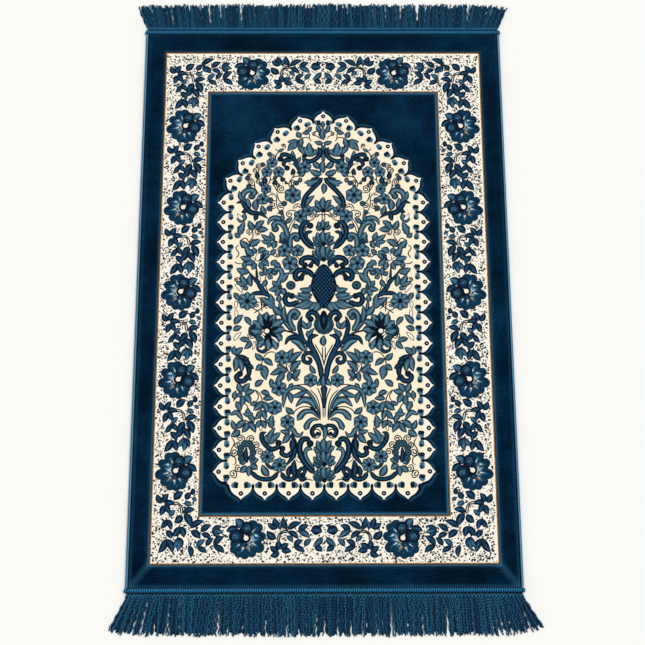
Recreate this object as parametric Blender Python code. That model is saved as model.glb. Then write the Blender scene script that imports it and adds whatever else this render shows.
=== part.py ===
"""A fringed prayer rug that lies flat, modelled as seven cloth and yarn solids.

The rug lies on z = 0 with its niche pointing to +Y. The origin is on the underside, at the middle
of the woven panel. The pieces are the panel, two overcast side bindings, two whipped end cords and
two knotted fringes. All sizes are in metres.
"""

import random
from math import cos, pi, radians, sin
from typing import NamedTuple

import bmesh
import bpy
from mathutils import Vector

# Whole rug, without the fringes
RUG_WIDTH = 0.700
RUG_LENGTH = 1.100
PIECE_GAP = 0.0003

# Woven panel
PILE_TOP = 0.0065
GROUND_TOP = 0.0055
PILE_ROUND = 0.0012
STEP_RUN = 0.0010
OUTER_LINE_X = 0.311
OUTER_LINE_Y = 0.502
INNER_LINE_X = 0.221
INNER_LINE_Y = 0.412

# Niche outline
NICHE_SIDE_X = 0.1755
NICHE_SIDE_TOP = 0.204
NICHE_SIDE_FOOT = -0.355
NICHE_FOOT_X = 0.1705
NICHE_FOOT_Y = -0.359
SIDE_SCALLOPS = 14
FOOT_SCALLOPS = 8
SIDE_DEPTH = 0.0235
FOOT_DEPTH = 0.0245
ARCH_DEPTH = 0.0240
CROWN_DEPTH = 0.0265
BULGE_STEPS = 4
FLICK_STEPS = 2

# Side bindings and end cords
BINDING_WIDTH = 0.0062
BINDING_HEIGHT = 0.0072
BINDING_SIDES = 14
CORD_WIDTH = 0.0096
CORD_HEIGHT = 0.0080
CORD_SIDES = 16
KNOT_OUT = 0.0025
FLAT_SHARE = 0.55

# Fringes
LOCKS = 150
STRIP_INSET = 0.0020
STRIP_DEPTH = 0.0055
STRIP_HEIGHT = 0.0046
LOCK_HEIGHT = 0.0025
LOCK_ROOT = 0.0028
LOCK_BODY = 0.0036
LOCK_TIP = 0.0022
LOCK_CROWN = 0.62
FAN_LOCKS = 10
CLUMP_PULL = 0.105
LENGTH_SPREAD = 0.0026
SWAY = 0.00022
MIDDLE_LEAN = radians(4.0)
CORNER_START = 0.80


class Corner(NamedTuple):
    """A valley of the arch between two scallops, on the right half."""

    x: float
    y: float


class Swell(NamedTuple):
    """One section of an end cord: its distance from the cord's end and its share of full size."""

    inward: float
    size: float


class Bend(NamedTuple):
    """One section of a fringe lock: the share of its length, its width and its share of the lean."""

    share: float
    width: float
    lean: float


class Fringe(NamedTuple):
    """One fringe: its node's name, end of the rug, yarn length, lean at the corners and seed."""

    name: str
    end: int
    length: float
    corner_lean: float
    seed: int


ARCH_VALLEYS = (
    Corner(x=0.0195, y=0.350),
    Corner(x=0.0620, y=0.335),
    Corner(x=0.1000, y=0.307),
    Corner(x=0.1310, y=0.275),
    Corner(x=0.1560, y=0.241),
    Corner(x=NICHE_SIDE_X, y=NICHE_SIDE_TOP),
)

CORD_SWELLS = (
    Swell(inward=0.0000, size=0.45),
    Swell(inward=0.0008, size=0.82),
    Swell(inward=0.0026, size=1.08),
    Swell(inward=0.0052, size=1.08),
    Swell(inward=0.0074, size=0.86),
    Swell(inward=0.0092, size=0.96),
    Swell(inward=0.0120, size=1.00),
)

LOCK_BENDS = (
    Bend(share=0.30, width=LOCK_BODY, lean=0.75),
    Bend(share=0.45, width=LOCK_BODY, lean=1.00),
    Bend(share=0.25, width=LOCK_TIP, lean=1.20),
)

FRINGES = (
    Fringe(name="fringe_top", end=1, length=0.056, corner_lean=radians(20.0), seed=11),
    Fringe(name="fringe_bottom", end=-1, length=0.073, corner_lean=radians(25.0), seed=23),
)


def clear_scene():
    """Remove every object of the file the script runs in."""
    for item in list(bpy.data.objects):
        bpy.data.objects.remove(item, do_unlink=True)


def make_material(name, colour, roughness):
    """Make a plain Principled material for one kind of yarn."""
    material = bpy.data.materials.new(name)
    material.use_nodes = True
    shader = material.node_tree.nodes["Principled BSDF"]
    shader.inputs["Base Color"].default_value = (*colour, 1.0)
    shader.inputs["Roughness"].default_value = roughness
    shader.inputs["Metallic"].default_value = 0.0
    material.diffuse_color = (*colour, 1.0)
    return material


def add_piece(name, mesh_data, materials):
    """Turn a bmesh into a named object with all its faces pointing out."""
    bmesh.ops.recalc_face_normals(mesh_data, faces=mesh_data.faces)
    mesh = bpy.data.meshes.new(name)
    mesh_data.to_mesh(mesh)
    mesh_data.free()
    for material in materials:
        mesh.materials.append(material)
    mesh.shade_smooth()
    mesh.set_sharp_from_angle(angle=radians(35.0))
    piece = bpy.data.objects.new(name, mesh)
    bpy.context.scene.collection.objects.link(piece)
    return piece


def bezier(start, pull_a, pull_b, end, steps):
    """Return the points of a cubic curve after its start, up to and with its end."""
    points = []
    for index in range(1, steps + 1):
        t = index / steps
        s = 1.0 - t
        points.append(
            start * s**3 + pull_a * 3.0 * s * s * t + pull_b * 3.0 * s * t * t + end * t**3
        )
    return points


def half_scallop():
    """Return half an ogee, from the valley at (1, 0) to the tip at (0, 1), without the valley."""
    valley = Vector((1.0, 0.0))
    shoulder = Vector((0.36, 0.865))
    tip = Vector((0.0, 1.0))
    bulge = bezier(valley, Vector((1.03, 0.45)), Vector((0.80, 0.80)), shoulder, BULGE_STEPS)
    flick = bezier(shoulder, Vector((0.20, 0.885)), Vector((0.07, 0.92)), tip, FLICK_STEPS)
    return bulge + flick


def scallop(start, end, depth):
    """Return the ogee from one valley to the next, bulging to the left of the way it runs."""
    middle = (start + end) / 2.0
    along = (end - start) / 2.0
    out = Vector((-along.y, along.x)).normalized() * depth
    half = half_scallop()
    rising = [middle - along * point.x + out * point.y for point in half]
    falling = [middle + along * point.x + out * point.y for point in reversed(half[:-1])]
    return [start] + rising + falling


def arch_valleys():
    """Return the valleys over the arch, from the left foot of the arch to the right one."""
    right = [Vector((corner.x, corner.y)) for corner in ARCH_VALLEYS]
    left = [Vector((-corner.x, corner.y)) for corner in reversed(ARCH_VALLEYS)]
    return left + right


def evenly(start, end, count):
    """Return count + 1 points that divide a straight run into equal lengths."""
    return [start.lerp(end, index / count) for index in range(count + 1)]


def niche_outline():
    """Return the scalloped outline of the niche, clockwise as seen from above."""
    foot_left = Vector((-NICHE_SIDE_X, NICHE_SIDE_FOOT))
    foot_right = Vector((NICHE_SIDE_X, NICHE_SIDE_FOOT))
    arch = arch_valleys()
    runs = (
        (evenly(foot_left, arch[0], SIDE_SCALLOPS), SIDE_DEPTH),
        (arch, ARCH_DEPTH),
        (evenly(arch[-1], foot_right, SIDE_SCALLOPS), SIDE_DEPTH),
        (
            evenly(
                Vector((NICHE_FOOT_X, NICHE_FOOT_Y)),
                Vector((-NICHE_FOOT_X, NICHE_FOOT_Y)),
                FOOT_SCALLOPS,
            ),
            FOOT_DEPTH,
        ),
    )
    crown = len(ARCH_VALLEYS) - 1
    outline = []
    for valleys, depth in runs:
        for index in range(len(valleys) - 1):
            is_crown = valleys is arch and index == crown
            reach = CROWN_DEPTH if is_crown else depth
            outline += scallop(valleys[index], valleys[index + 1], reach)
        if valleys[-1] not in (arch[0], arch[-1]):
            outline.append(valleys[-1])
    return outline


def rectangle(half_x, half_y):
    """Return the corners of a rectangle about the origin, clockwise as seen from above."""
    corners = ((-1, -1), (-1, 1), (1, 1), (1, -1))
    return [Vector((side_x * half_x, side_y * half_y)) for side_x, side_y in corners]


def add_loop(mesh_data, points, height):
    """Add a closed loop of corners at one height."""
    return [mesh_data.verts.new((point.x, point.y, height)) for point in points]


def bridge(mesh_data, lower, upper, material_index=0):
    """Join two loops of equal count with a band of four-sided faces."""
    count = len(lower)
    for index in range(count):
        after = (index + 1) % count
        face = mesh_data.faces.new((lower[index], lower[after], upper[after], upper[index]))
        face.material_index = material_index


def loop_edges(mesh_data, loop):
    """Return the edges of a closed loop, made where they are missing."""
    edges = []
    for index, corner in enumerate(loop):
        after = loop[(index + 1) % len(loop)]
        edges.append(mesh_data.edges.get((corner, after)) or mesh_data.edges.new((corner, after)))
    return edges


def fill(mesh_data, loops, material_index=0):
    """Fill the flat area inside the first loop and outside any others."""
    edges = []
    for loop in loops:
        edges += loop_edges(mesh_data, loop)
    filled = bmesh.ops.triangle_fill(mesh_data, use_beauty=True, edges=edges)
    for item in filled["geom"]:
        if isinstance(item, bmesh.types.BMFace):
            item.material_index = material_index


def make_panel(pile, ground):
    """Make the woven panel: high navy pile, with the border and the niche a step lower."""
    half_x = RUG_WIDTH / 2.0 - BINDING_WIDTH - PIECE_GAP
    half_y = RUG_LENGTH / 2.0 - CORD_WIDTH - PIECE_GAP
    edge = PILE_ROUND * (1.0 - cos(pi / 4.0))
    niche = niche_outline()
    mesh_data = bmesh.new()
    underside = add_loop(mesh_data, rectangle(half_x, half_y), 0.0)
    wall = add_loop(mesh_data, rectangle(half_x, half_y), PILE_TOP - PILE_ROUND)
    shoulder = add_loop(mesh_data, rectangle(half_x - edge, half_y - edge), PILE_TOP - edge)
    rim = add_loop(mesh_data, rectangle(half_x - PILE_ROUND, half_y - PILE_ROUND), PILE_TOP)
    outer_high = add_loop(mesh_data, rectangle(OUTER_LINE_X, OUTER_LINE_Y), PILE_TOP)
    outer_low = add_loop(
        mesh_data, rectangle(OUTER_LINE_X - STEP_RUN, OUTER_LINE_Y - STEP_RUN), GROUND_TOP
    )
    inner_low = add_loop(
        mesh_data, rectangle(INNER_LINE_X + STEP_RUN, INNER_LINE_Y + STEP_RUN), GROUND_TOP
    )
    inner_high = add_loop(mesh_data, rectangle(INNER_LINE_X, INNER_LINE_Y), PILE_TOP)
    niche_high = add_loop(mesh_data, niche, PILE_TOP)
    niche_low = add_loop(mesh_data, niche, GROUND_TOP)
    mesh_data.faces.new(underside)
    bridge(mesh_data, underside, wall)
    bridge(mesh_data, wall, shoulder)
    bridge(mesh_data, shoulder, rim)
    bridge(mesh_data, rim, outer_high)
    bridge(mesh_data, outer_high, outer_low)
    bridge(mesh_data, outer_low, inner_low, material_index=1)
    bridge(mesh_data, inner_low, inner_high)
    fill(mesh_data, (inner_high, niche_high))
    bridge(mesh_data, niche_high, niche_low)
    fill(mesh_data, (niche_low,), material_index=1)
    return add_piece("pile_cloth", mesh_data, (pile, ground))


def yarn_section(width, height, sides):
    """Return a round section that rests on a flat foot, as pairs of offset and height."""
    foot = width * FLAT_SHARE / 2.0
    radius_across = width / 2.0
    radius_up = height / 2.0
    points = [Vector((-foot, 0.0)), Vector((foot, 0.0))]
    start = -pi / 2.0 + radians(42.0)
    sweep = 2.0 * pi - radians(84.0)
    for index in range(sides - 1):
        angle = start + sweep * index / (sides - 2)
        points.append(
            Vector((radius_across * cos(angle), radius_up + radius_up * sin(angle)))
        )
    return points


def loft(mesh_data, sections):
    """Join a row of closed sections into one capped body."""
    for index in range(len(sections) - 1):
        bridge(mesh_data, sections[index], sections[index + 1])
    mesh_data.faces.new(sections[0])
    mesh_data.faces.new(sections[-1])


def make_binding(name, side, material):
    """Make the overcast binding along one long edge."""
    centre = side * (RUG_WIDTH - BINDING_WIDTH) / 2.0
    reach = RUG_LENGTH / 2.0 - CORD_WIDTH - PIECE_GAP
    mesh_data = bmesh.new()
    sections = []
    for y in (-reach, 0.0, reach):
        ring = yarn_section(BINDING_WIDTH, BINDING_HEIGHT, BINDING_SIDES)
        sections.append([mesh_data.verts.new((centre + p.x, y, p.y)) for p in ring])
    loft(mesh_data, sections)
    return add_piece(name, mesh_data, (material,))


def make_cord(name, end, material):
    """Make the whipped cord across one short edge, with the knot at each of its ends."""
    centre = end * (RUG_LENGTH - CORD_WIDTH) / 2.0
    half = RUG_WIDTH / 2.0 + KNOT_OUT
    left = [(-half + swell.inward, swell.size) for swell in CORD_SWELLS]
    right = [(half - swell.inward, swell.size) for swell in reversed(CORD_SWELLS)]
    mesh_data = bmesh.new()
    sections = []
    for x, size in left + right:
        ring = yarn_section(CORD_WIDTH * min(size, 1.0), CORD_HEIGHT * size, CORD_SIDES)
        sections.append([mesh_data.verts.new((x, centre + p.x, p.y)) for p in ring])
    loft(mesh_data, sections)
    return add_piece(name, mesh_data, (material,))


def clump_centres(count, generator):
    """Return, for each lock, the index that the locks of its clump lean towards."""
    centres = []
    while len(centres) < count:
        size = generator.randint(5, 10)
        middle = len(centres) + (size - 1) / 2.0
        centres += [middle] * size
    return centres[:count]


def lock_lean(fringe, place):
    """Return how far a lock leans out, for its place from -1 at the left to 1 at the right."""
    side = 1.0 if place > 0.0 else -1.0
    beyond = max(0.0, (abs(place) - CORNER_START) / (1.0 - CORNER_START))
    return side * (MIDDLE_LEAN * abs(place) + fringe.corner_lean * beyond**1.5)


def lock_rings(fringe, root_x, root_y, lean, pull, length):
    """Return the sections of one lock after its root, each as its four corners."""
    rings = []
    x = root_x
    y = root_y
    travelled = 0.0
    for bend in LOCK_BENDS:
        angle = lean * bend.lean
        run = length * bend.share
        travelled += bend.share
        x += run * sin(angle)
        y += fringe.end * run * cos(angle)
        middle = x + pull * travelled**1.5
        half = bend.width / 2.0
        height = LOCK_HEIGHT * (1.0 - 0.45 * max(0.0, travelled - 0.75) / 0.25)
        rings.append(
            (
                (middle - half, y, 0.0),
                (middle + half, y, 0.0),
                (middle + half * LOCK_CROWN, y, height),
                (middle - half * LOCK_CROWN, y, height),
            )
        )
    return rings


def grow_lock(mesh_data, root, rings):
    """Extend one lock from its root's four corners through its sections to a capped tip."""
    before = root
    for ring in rings:
        corners = [mesh_data.verts.new(corner) for corner in ring]
        bridge(mesh_data, before, corners)
        before = corners
    mesh_data.faces.new(before)


def fan(mesh_data, coarse, fine):
    """Join a coarse row of corners to a fine row that starts and ends beside it."""
    steps = (len(fine) - 1) / (len(coarse) - 1)
    for index in range(len(coarse) - 1):
        low = round(index * steps)
        high = round((index + 1) * steps)
        for number in range(low, high):
            mesh_data.faces.new((coarse[index], fine[number], fine[number + 1]))
        mesh_data.faces.new((coarse[index], fine[high], coarse[index + 1]))


def make_fringe(fringe, material):
    """Make one fringe: a looped header strip with the locks that hang from it."""
    generator = random.Random(fringe.seed)
    half = RUG_WIDTH / 2.0 - STRIP_INSET
    inner_y = fringe.end * (RUG_LENGTH / 2.0 + PIECE_GAP)
    outer_y = fringe.end * (RUG_LENGTH / 2.0 + PIECE_GAP + STRIP_DEPTH)
    top_y = outer_y - fringe.end * LOCK_HEIGHT / 2.0
    first = half - LOCK_BODY
    pitch = 2.0 * first / (LOCKS - 1)
    centres = clump_centres(LOCKS, generator)
    mesh_data = bmesh.new()
    feet = [mesh_data.verts.new((-half, outer_y, 0.0))]
    crowns = [mesh_data.verts.new((-half, outer_y, LOCK_HEIGHT))]
    for index in range(LOCKS):
        x = -first + pitch * index
        foot = LOCK_ROOT / 2.0
        crown = foot * LOCK_CROWN
        left_foot = mesh_data.verts.new((x - foot, outer_y, 0.0))
        right_foot = mesh_data.verts.new((x + foot, outer_y, 0.0))
        left_crown = mesh_data.verts.new((x - crown, outer_y, LOCK_HEIGHT))
        right_crown = mesh_data.verts.new((x + crown, outer_y, LOCK_HEIGHT))
        mesh_data.faces.new((feet[-1], left_foot, left_crown, crowns[-1]))
        feet += [left_foot, right_foot]
        crowns += [left_crown, right_crown]
        lean = lock_lean(fringe, x / first)
        pull = (centres[index] - index) * pitch * CLUMP_PULL
        pull += generator.uniform(-SWAY, SWAY)
        length = fringe.length - STRIP_DEPTH - generator.uniform(0.0, LENGTH_SPREAD)
        rings = lock_rings(fringe, x, outer_y, lean, pull, length)
        grow_lock(mesh_data, (left_foot, right_foot, right_crown, left_crown), rings)
    feet.append(mesh_data.verts.new((half, outer_y, 0.0)))
    crowns.append(mesh_data.verts.new((half, outer_y, LOCK_HEIGHT)))
    mesh_data.faces.new((feet[-2], feet[-1], crowns[-1], crowns[-2]))
    stations = LOCKS // FAN_LOCKS
    places = [-half + 2.0 * half * index / stations for index in range(stations + 1)]
    under = [mesh_data.verts.new((x, inner_y, 0.0)) for x in places]
    behind = [mesh_data.verts.new((x, inner_y, STRIP_HEIGHT)) for x in places]
    ridge = [mesh_data.verts.new((x, top_y, STRIP_HEIGHT)) for x in places]
    fan(mesh_data, under, feet)
    fan(mesh_data, ridge, crowns)
    for low, high in ((under, behind), (behind, ridge)):
        for index in range(stations):
            mesh_data.faces.new((low[index], low[index + 1], high[index + 1], high[index]))
    for at in (0, -1):
        mesh_data.faces.new((under[at], behind[at], ridge[at], crowns[at], feet[at]))
    return add_piece(fringe.name, mesh_data, (material,))


def make_rug():
    """Make every piece of the rug."""
    pile = make_material("navy_cut_pile", (0.004, 0.022, 0.052), 0.85)
    ground = make_material("cream_flat_woven_ground", (0.87, 0.76, 0.58), 0.80)
    ridge = make_material("blue_overcast_yarn", (0.055, 0.130, 0.200), 0.65)
    cord = make_material("bright_blue_whipped_cord", (0.020, 0.130, 0.240), 0.55)
    yarn = make_material("blue_fringe_yarn", (0.016, 0.060, 0.115), 0.70)
    make_panel(pile, ground)
    make_binding("binding_left", -1, ridge)
    make_binding("binding_right", 1, ridge)
    make_cord("end_cord_top", 1, cord)
    make_cord("end_cord_bottom", -1, cord)
    for fringe in FRINGES:
        make_fringe(fringe, yarn)


clear_scene()
make_rug()
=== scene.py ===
"""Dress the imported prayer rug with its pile, floral ground, gold lines, cords, bindings and fringes.

Sizes are in millimetres in the rug's own frame: the origin is the middle of the underside, +Y runs
towards the point of the niche and +Z comes up out of the pile. MeshDraft turns them into metres.
"""

import logging
import random
from collections.abc import Iterable, Sequence
from dataclasses import dataclass, field
from enum import Enum
from math import cos, hypot, pi, radians, sin
from typing import NamedTuple

import bmesh
import bpy
from mathutils import Matrix, Vector


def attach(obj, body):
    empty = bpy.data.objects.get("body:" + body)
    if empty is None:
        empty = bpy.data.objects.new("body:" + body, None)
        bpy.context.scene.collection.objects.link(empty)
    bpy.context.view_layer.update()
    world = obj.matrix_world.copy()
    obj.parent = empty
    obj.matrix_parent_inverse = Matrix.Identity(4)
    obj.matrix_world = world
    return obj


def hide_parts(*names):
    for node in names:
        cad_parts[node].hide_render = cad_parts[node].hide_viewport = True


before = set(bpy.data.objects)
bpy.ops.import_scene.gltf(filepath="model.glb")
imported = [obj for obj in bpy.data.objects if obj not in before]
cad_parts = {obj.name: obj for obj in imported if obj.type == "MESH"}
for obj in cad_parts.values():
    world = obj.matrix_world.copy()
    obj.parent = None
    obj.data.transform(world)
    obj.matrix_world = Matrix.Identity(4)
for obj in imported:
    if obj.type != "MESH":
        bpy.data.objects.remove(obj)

LOG = logging.getLogger("prayer_rug")
MM = 0.001
TURN = 2.0 * pi

# A circle in the rug's plane, as its middle's x and y and its radius.
Circle = tuple[float, float, float]


# Colour and nodes


def linear(hex_colour: str) -> tuple[float, float, float, float]:
    """Turn an sRGB hex colour into linear RGBA.

    Args:
        hex_colour: six hex digits after a hash.

    Returns:
        The linear colour with an alpha of one.
    """
    channels = [int(hex_colour[i : i + 2], 16) / 255.0 for i in (1, 3, 5)]
    flat = [c / 12.92 if c <= 0.04045 else ((c + 0.055) / 1.055) ** 2.4 for c in channels]
    return (flat[0], flat[1], flat[2], 1.0)


def add_node(
    tree: bpy.types.NodeTree,
    kind: str,
    inputs: dict | None = None,
    stops: Sequence[tuple[float, str]] = (),
    **settings: object,
) -> bpy.types.Node:
    """Add one node with its settings, its input values and its links.

    Args:
        tree: the node tree to add to.
        kind: the node's type name.
        inputs: values, or sockets to link from, by input name or number.
        stops: the colour stops of a colour ramp, as positions and hex colours.
        settings: attributes of the node.

    Returns:
        The new node.
    """
    node = tree.nodes.new(kind)
    for name, value in settings.items():
        setattr(node, name, value)
    for name, value in (inputs or {}).items():
        if isinstance(value, bpy.types.NodeSocket):
            tree.links.new(value, node.inputs[name])
        else:
            node.inputs[name].default_value = value
    if stops:
        elements = node.color_ramp.elements
        elements.remove(elements[-1])
        elements[0].position = stops[0][0]
        elements[0].color = linear(stops[0][1])
        for position, colour in stops[1:]:
            elements.new(position).color = linear(colour)
    return node


def new_material(name: str) -> bpy.types.Material:
    """Return an empty node material.

    Args:
        name: the material's name.

    Returns:
        The material, with a shader to dress.
    """
    material = bpy.data.materials.new(name)
    material.use_nodes = True
    return material


@dataclass(frozen=True)
class YarnSurface:
    """What every yarn finish shares: how it scatters light and how rough it feels.

    Attributes:
        roughness: the shader's roughness; spun polyester is about 0.8 to 0.95.
        sheen: weight of the light that loose fibre ends catch.
        sheen_hex: colour of that light.
        grain_mm: size of the fibre clumps that the bump shows.
        bump: strength of that bump.
        relief_mm: height of that bump.
        gloss: the specular level; open fibres trap most of the mirror-like light.
    """

    roughness: float
    sheen: float
    sheen_hex: str
    grain_mm: float
    bump: float
    relief_mm: float = 0.4
    gloss: float = 0.06

    def dress(self, material: bpy.types.Material, colour: bpy.types.NodeSocket) -> bpy.types.Material:
        """Join a colour to the shader and give it this surface.

        Args:
            material: a material that uses nodes.
            colour: the socket its colour comes from.

        Returns:
            The same material.
        """
        tree = material.node_tree
        shader = tree.nodes["Principled BSDF"]
        tree.links.new(colour, shader.inputs["Base Color"])
        shader.inputs["Roughness"].default_value = self.roughness
        shader.inputs["Specular IOR Level"].default_value = self.gloss
        shader.inputs["Sheen Weight"].default_value = self.sheen
        shader.inputs["Sheen Roughness"].default_value = 0.45
        shader.inputs["Sheen Tint"].default_value = linear(self.sheen_hex)
        place = add_node(tree, "ShaderNodeTexCoord")
        scale = 1.0 / (self.grain_mm * MM)
        grain = add_node(
            tree, "ShaderNodeTexNoise", {"Vector": place.outputs["Object"], "Scale": scale, "Detail": 2.0}
        )
        bump = add_node(
            tree,
            "ShaderNodeBump",
            {"Height": grain.outputs["Fac"], "Strength": self.bump, "Distance": self.relief_mm * MM},
        )
        tree.links.new(bump.outputs["Normal"], shader.inputs["Normal"])
        return material

    def toned(
        self,
        name: str,
        stops: Sequence[tuple[float, str]],
        mottle_mm: float,
        mottle: float,
        detail: float,
    ) -> bpy.types.Material:
        """Make a yarn whose colour follows the corners' tone, with mottles on it.

        Args:
            name: the material's name.
            stops: the colours along the tone, as positions and hex colours.
            mottle_mm: size of the mottles.
            mottle: how far they move the tone, from none at zero.
            detail: how fine their own detail is.

        Returns:
            The yarn's material.
        """
        material = new_material(name)
        tree = material.node_tree
        place = add_node(tree, "ShaderNodeTexCoord")
        noise = add_node(
            tree,
            "ShaderNodeTexNoise",
            {"Vector": place.outputs["Object"], "Scale": 1.0 / (mottle_mm * MM), "Detail": detail},
        )
        wander = add_node(
            tree,
            "ShaderNodeMath",
            {0: noise.outputs["Fac"], 1: mottle, 2: -0.5 * mottle},
            operation="MULTIPLY_ADD",
        )
        tone = add_node(tree, "ShaderNodeAttribute", attribute_name="tone")
        mottled = add_node(
            tree,
            "ShaderNodeMath",
            {0: tone.outputs["Fac"], 1: wander.outputs[0]},
            operation="ADD",
            use_clamp=True,
        )
        colour = add_node(tree, "ShaderNodeValToRGB", {"Fac": mottled.outputs[0]}, stops=stops)
        return self.dress(material, colour.outputs["Color"])


@dataclass(frozen=True)
class CutPileVelour:
    """Navy polyester pile, woven face to face and cut: deep, soft, cloudy at random, with sheen painted
    lighter where it was stroked and along its rims.

    The tufts are about 1.2 mm apart, which is finer than the render shows, so the grain is 3 mm.
    """

    name: str = "navy_cut_pile_velour"
    deep_hex: str = "#00101F"
    middle_hex: str = "#021E33"
    cloud_and_sheen_hex: str = "#0A3450"
    sheen_rim_hex: str = "#3A7CA4"
    cloud_mm: float = 110.0
    nap_mm: tuple[float, float] = (34.0, 15.0)
    tuft_mm: float = 3.0
    nap_share: float = 0.2
    tuft_share: float = 0.55
    surface: YarnSurface = YarnSurface(0.92, 0.03, "#2E7FBF", 1.6, 0.6, 0.6, 0.03)

    def build(self) -> bpy.types.Material:
        """Return the velour material; the corners' tone paints a highlight of sheen on the pile's rims.

        Returns:
            The velour's material.
        """
        material = new_material(self.name)
        tree = material.node_tree
        place = add_node(tree, "ShaderNodeTexCoord")
        cloud = add_node(
            tree,
            "ShaderNodeTexNoise",
            {
                "Vector": place.outputs["Object"],
                "Scale": 1.0 / (self.cloud_mm * MM),
                "Detail": 4.0,
                "Roughness": 0.55,
            },
        )
        nap_scale = (1.0 / (self.nap_mm[0] * MM), 1.0 / (self.nap_mm[1] * MM), 1.0)
        laid = add_node(
            tree, "ShaderNodeMapping", {"Vector": place.outputs["Object"], "Scale": nap_scale}
        )
        nap = add_node(
            tree, "ShaderNodeTexNoise", {"Vector": laid.outputs["Vector"], "Scale": 1.0, "Detail": 3.0}
        )
        tuft = add_node(
            tree,
            "ShaderNodeTexNoise",
            {"Vector": place.outputs["Object"], "Scale": 1.0 / (self.tuft_mm * MM), "Detail": 2.0},
        )
        depth = cloud
        for grain, share in ((nap, self.nap_share), (tuft, self.tuft_share)):
            part = add_node(
                tree,
                "ShaderNodeMath",
                {0: grain.outputs["Fac"], 1: share, 2: -0.5 * share},
                operation="MULTIPLY_ADD",
            )
            depth = add_node(
                tree, "ShaderNodeMath", {0: depth.outputs[0], 1: part.outputs[0]}, operation="ADD"
            )
        # Painted sheen: each stroked spot lifts the pile towards its lightest colour.
        for spot in STROKED_SHEEN_SPOTS:
            depth = self._stroked_sheen(tree, place, depth, spot)
        pile = add_node(
            tree,
            "ShaderNodeValToRGB",
            {"Fac": depth.outputs[0]},
            stops=((0.32, self.deep_hex), (0.52, self.middle_hex), (0.78, self.cloud_and_sheen_hex)),
        )
        # Painted highlight: the corners' tone mixes the sheen rim colour in along the pile's rounded
        # edges.
        tone = add_node(tree, "ShaderNodeAttribute", attribute_name="tone")
        colour = add_node(
            tree,
            "ShaderNodeMix",
            {0: tone.outputs["Fac"], 6: pile.outputs["Color"], 7: linear(self.sheen_rim_hex)},
            data_type="RGBA",
        )
        return self.surface.dress(material, colour.outputs[2])

    @staticmethod
    def _stroked_sheen(
        tree: bpy.types.NodeTree,
        place: bpy.types.Node,
        depth: bpy.types.Node,
        spot: tuple[float, float, float, float],
    ) -> bpy.types.Node:
        """Paint lighter sheen into the pile round a spot where a hand stroked it against its nap.

        Args:
            tree: the node tree.
            place: the texture coordinates.
            depth: the pile's shade so far.
            spot: the spot's x, y, reach and how much lighter it is.

        Returns:
            The node that gives the new shade.
        """
        x, y, reach, lift = spot
        away = add_node(
            tree,
            "ShaderNodeVectorMath",
            {0: place.outputs["Object"], 1: (x * MM, y * MM, 0.0)},
            operation="DISTANCE",
        )
        near = add_node(
            tree,
            "ShaderNodeMapRange",
            {"Value": away.outputs["Value"], 1: 0.0, 2: reach * MM, 3: lift, 4: 0.0},
            interpolation_type="SMOOTHSTEP",
        )
        return add_node(
            tree, "ShaderNodeMath", {0: depth.outputs[0], 1: near.outputs[0]}, operation="ADD"
        )


# Where the pile was stroked and its sheen is painted lighter, as x, y, reach and lift.
STROKED_SHEEN_SPOTS = (
    (-150.0, 355.0, 95.0, 0.12), (-100.0, 380.0, 60.0, 0.05), (110.0, 365.0, 80.0, 0.03),
    (-322.0, 512.0, 60.0, 0.08), (-200.0, -390.0, 60.0, 0.05),
)


@dataclass(frozen=True)
class InlaidYarn:
    """Printed spun yarn of the flat pattern: matt, a little mottled, lighter or darker at its edge.

    Attributes:
        name: the material's name.
        edge_hex: colour where the tone is zero.
        middle_hex: colour where the tone is one.
        mottle: how far the colour wanders, from none at zero.
        mottle_mm: size of the mottles; the real stitches are 1 mm, too fine for the render.
        edge_share: the tone by which the edge's colour has given way to the middle's.
        halfway_hex: a colour between the two, where they don't shade straight into each other.
        surface: how the yarn takes the light.
    """

    name: str
    edge_hex: str
    middle_hex: str
    mottle: float = 0.25
    mottle_mm: float = 2.0
    edge_share: float = 1.0
    halfway_hex: str = ""
    surface: YarnSurface = YarnSurface(0.88, 0.0, "#FFFFFF", 1.4, 0.25)

    def build(self) -> bpy.types.Material:
        """Return the yarn's material; the corners' tone runs from the edge to the middle.

        Returns:
            The yarn's material.
        """
        stops = (
            (self.edge_share * 0.35, self.edge_hex),
            (self.edge_share * 0.62, self.halfway_hex or self.edge_hex),
            (self.edge_share, self.middle_hex),
        )
        return self.surface.toned(self.name, stops, self.mottle_mm, self.mottle, 3.0)


@dataclass(frozen=True)
class WoundYarn:
    """Glossier yarn, twisted or wound round a core: a highlight is painted on the turns' crests and shade
    is painted dark in the furrows between turns.

    Attributes:
        name: the material's name.
        furrow_shade_hex: colour between the turns, where the tone is zero.
        body_hex: colour of the turns' sides.
        crest_highlight_hex: colour of the turns' tops, where the tone is one.
        fibre_mm: size of the fibre streaks.
        streaks: how far they move the colour.
        surface: how the yarn takes the light.
    """

    name: str
    furrow_shade_hex: str
    body_hex: str
    crest_highlight_hex: str
    fibre_mm: float = 1.2
    streaks: float = 0.3
    surface: YarnSurface = YarnSurface(0.6, 0.02, "#4F9CC8", 0.8, 0.3, 0.2, 0.08)

    def build(self) -> bpy.types.Material:
        """Return the yarn's material."""
        stops = ((0.0, self.furrow_shade_hex), (0.5, self.body_hex), (1.0, self.crest_highlight_hex))
        return self.surface.toned(self.name, stops, self.fibre_mm, self.streaks, 2.0)


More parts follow.
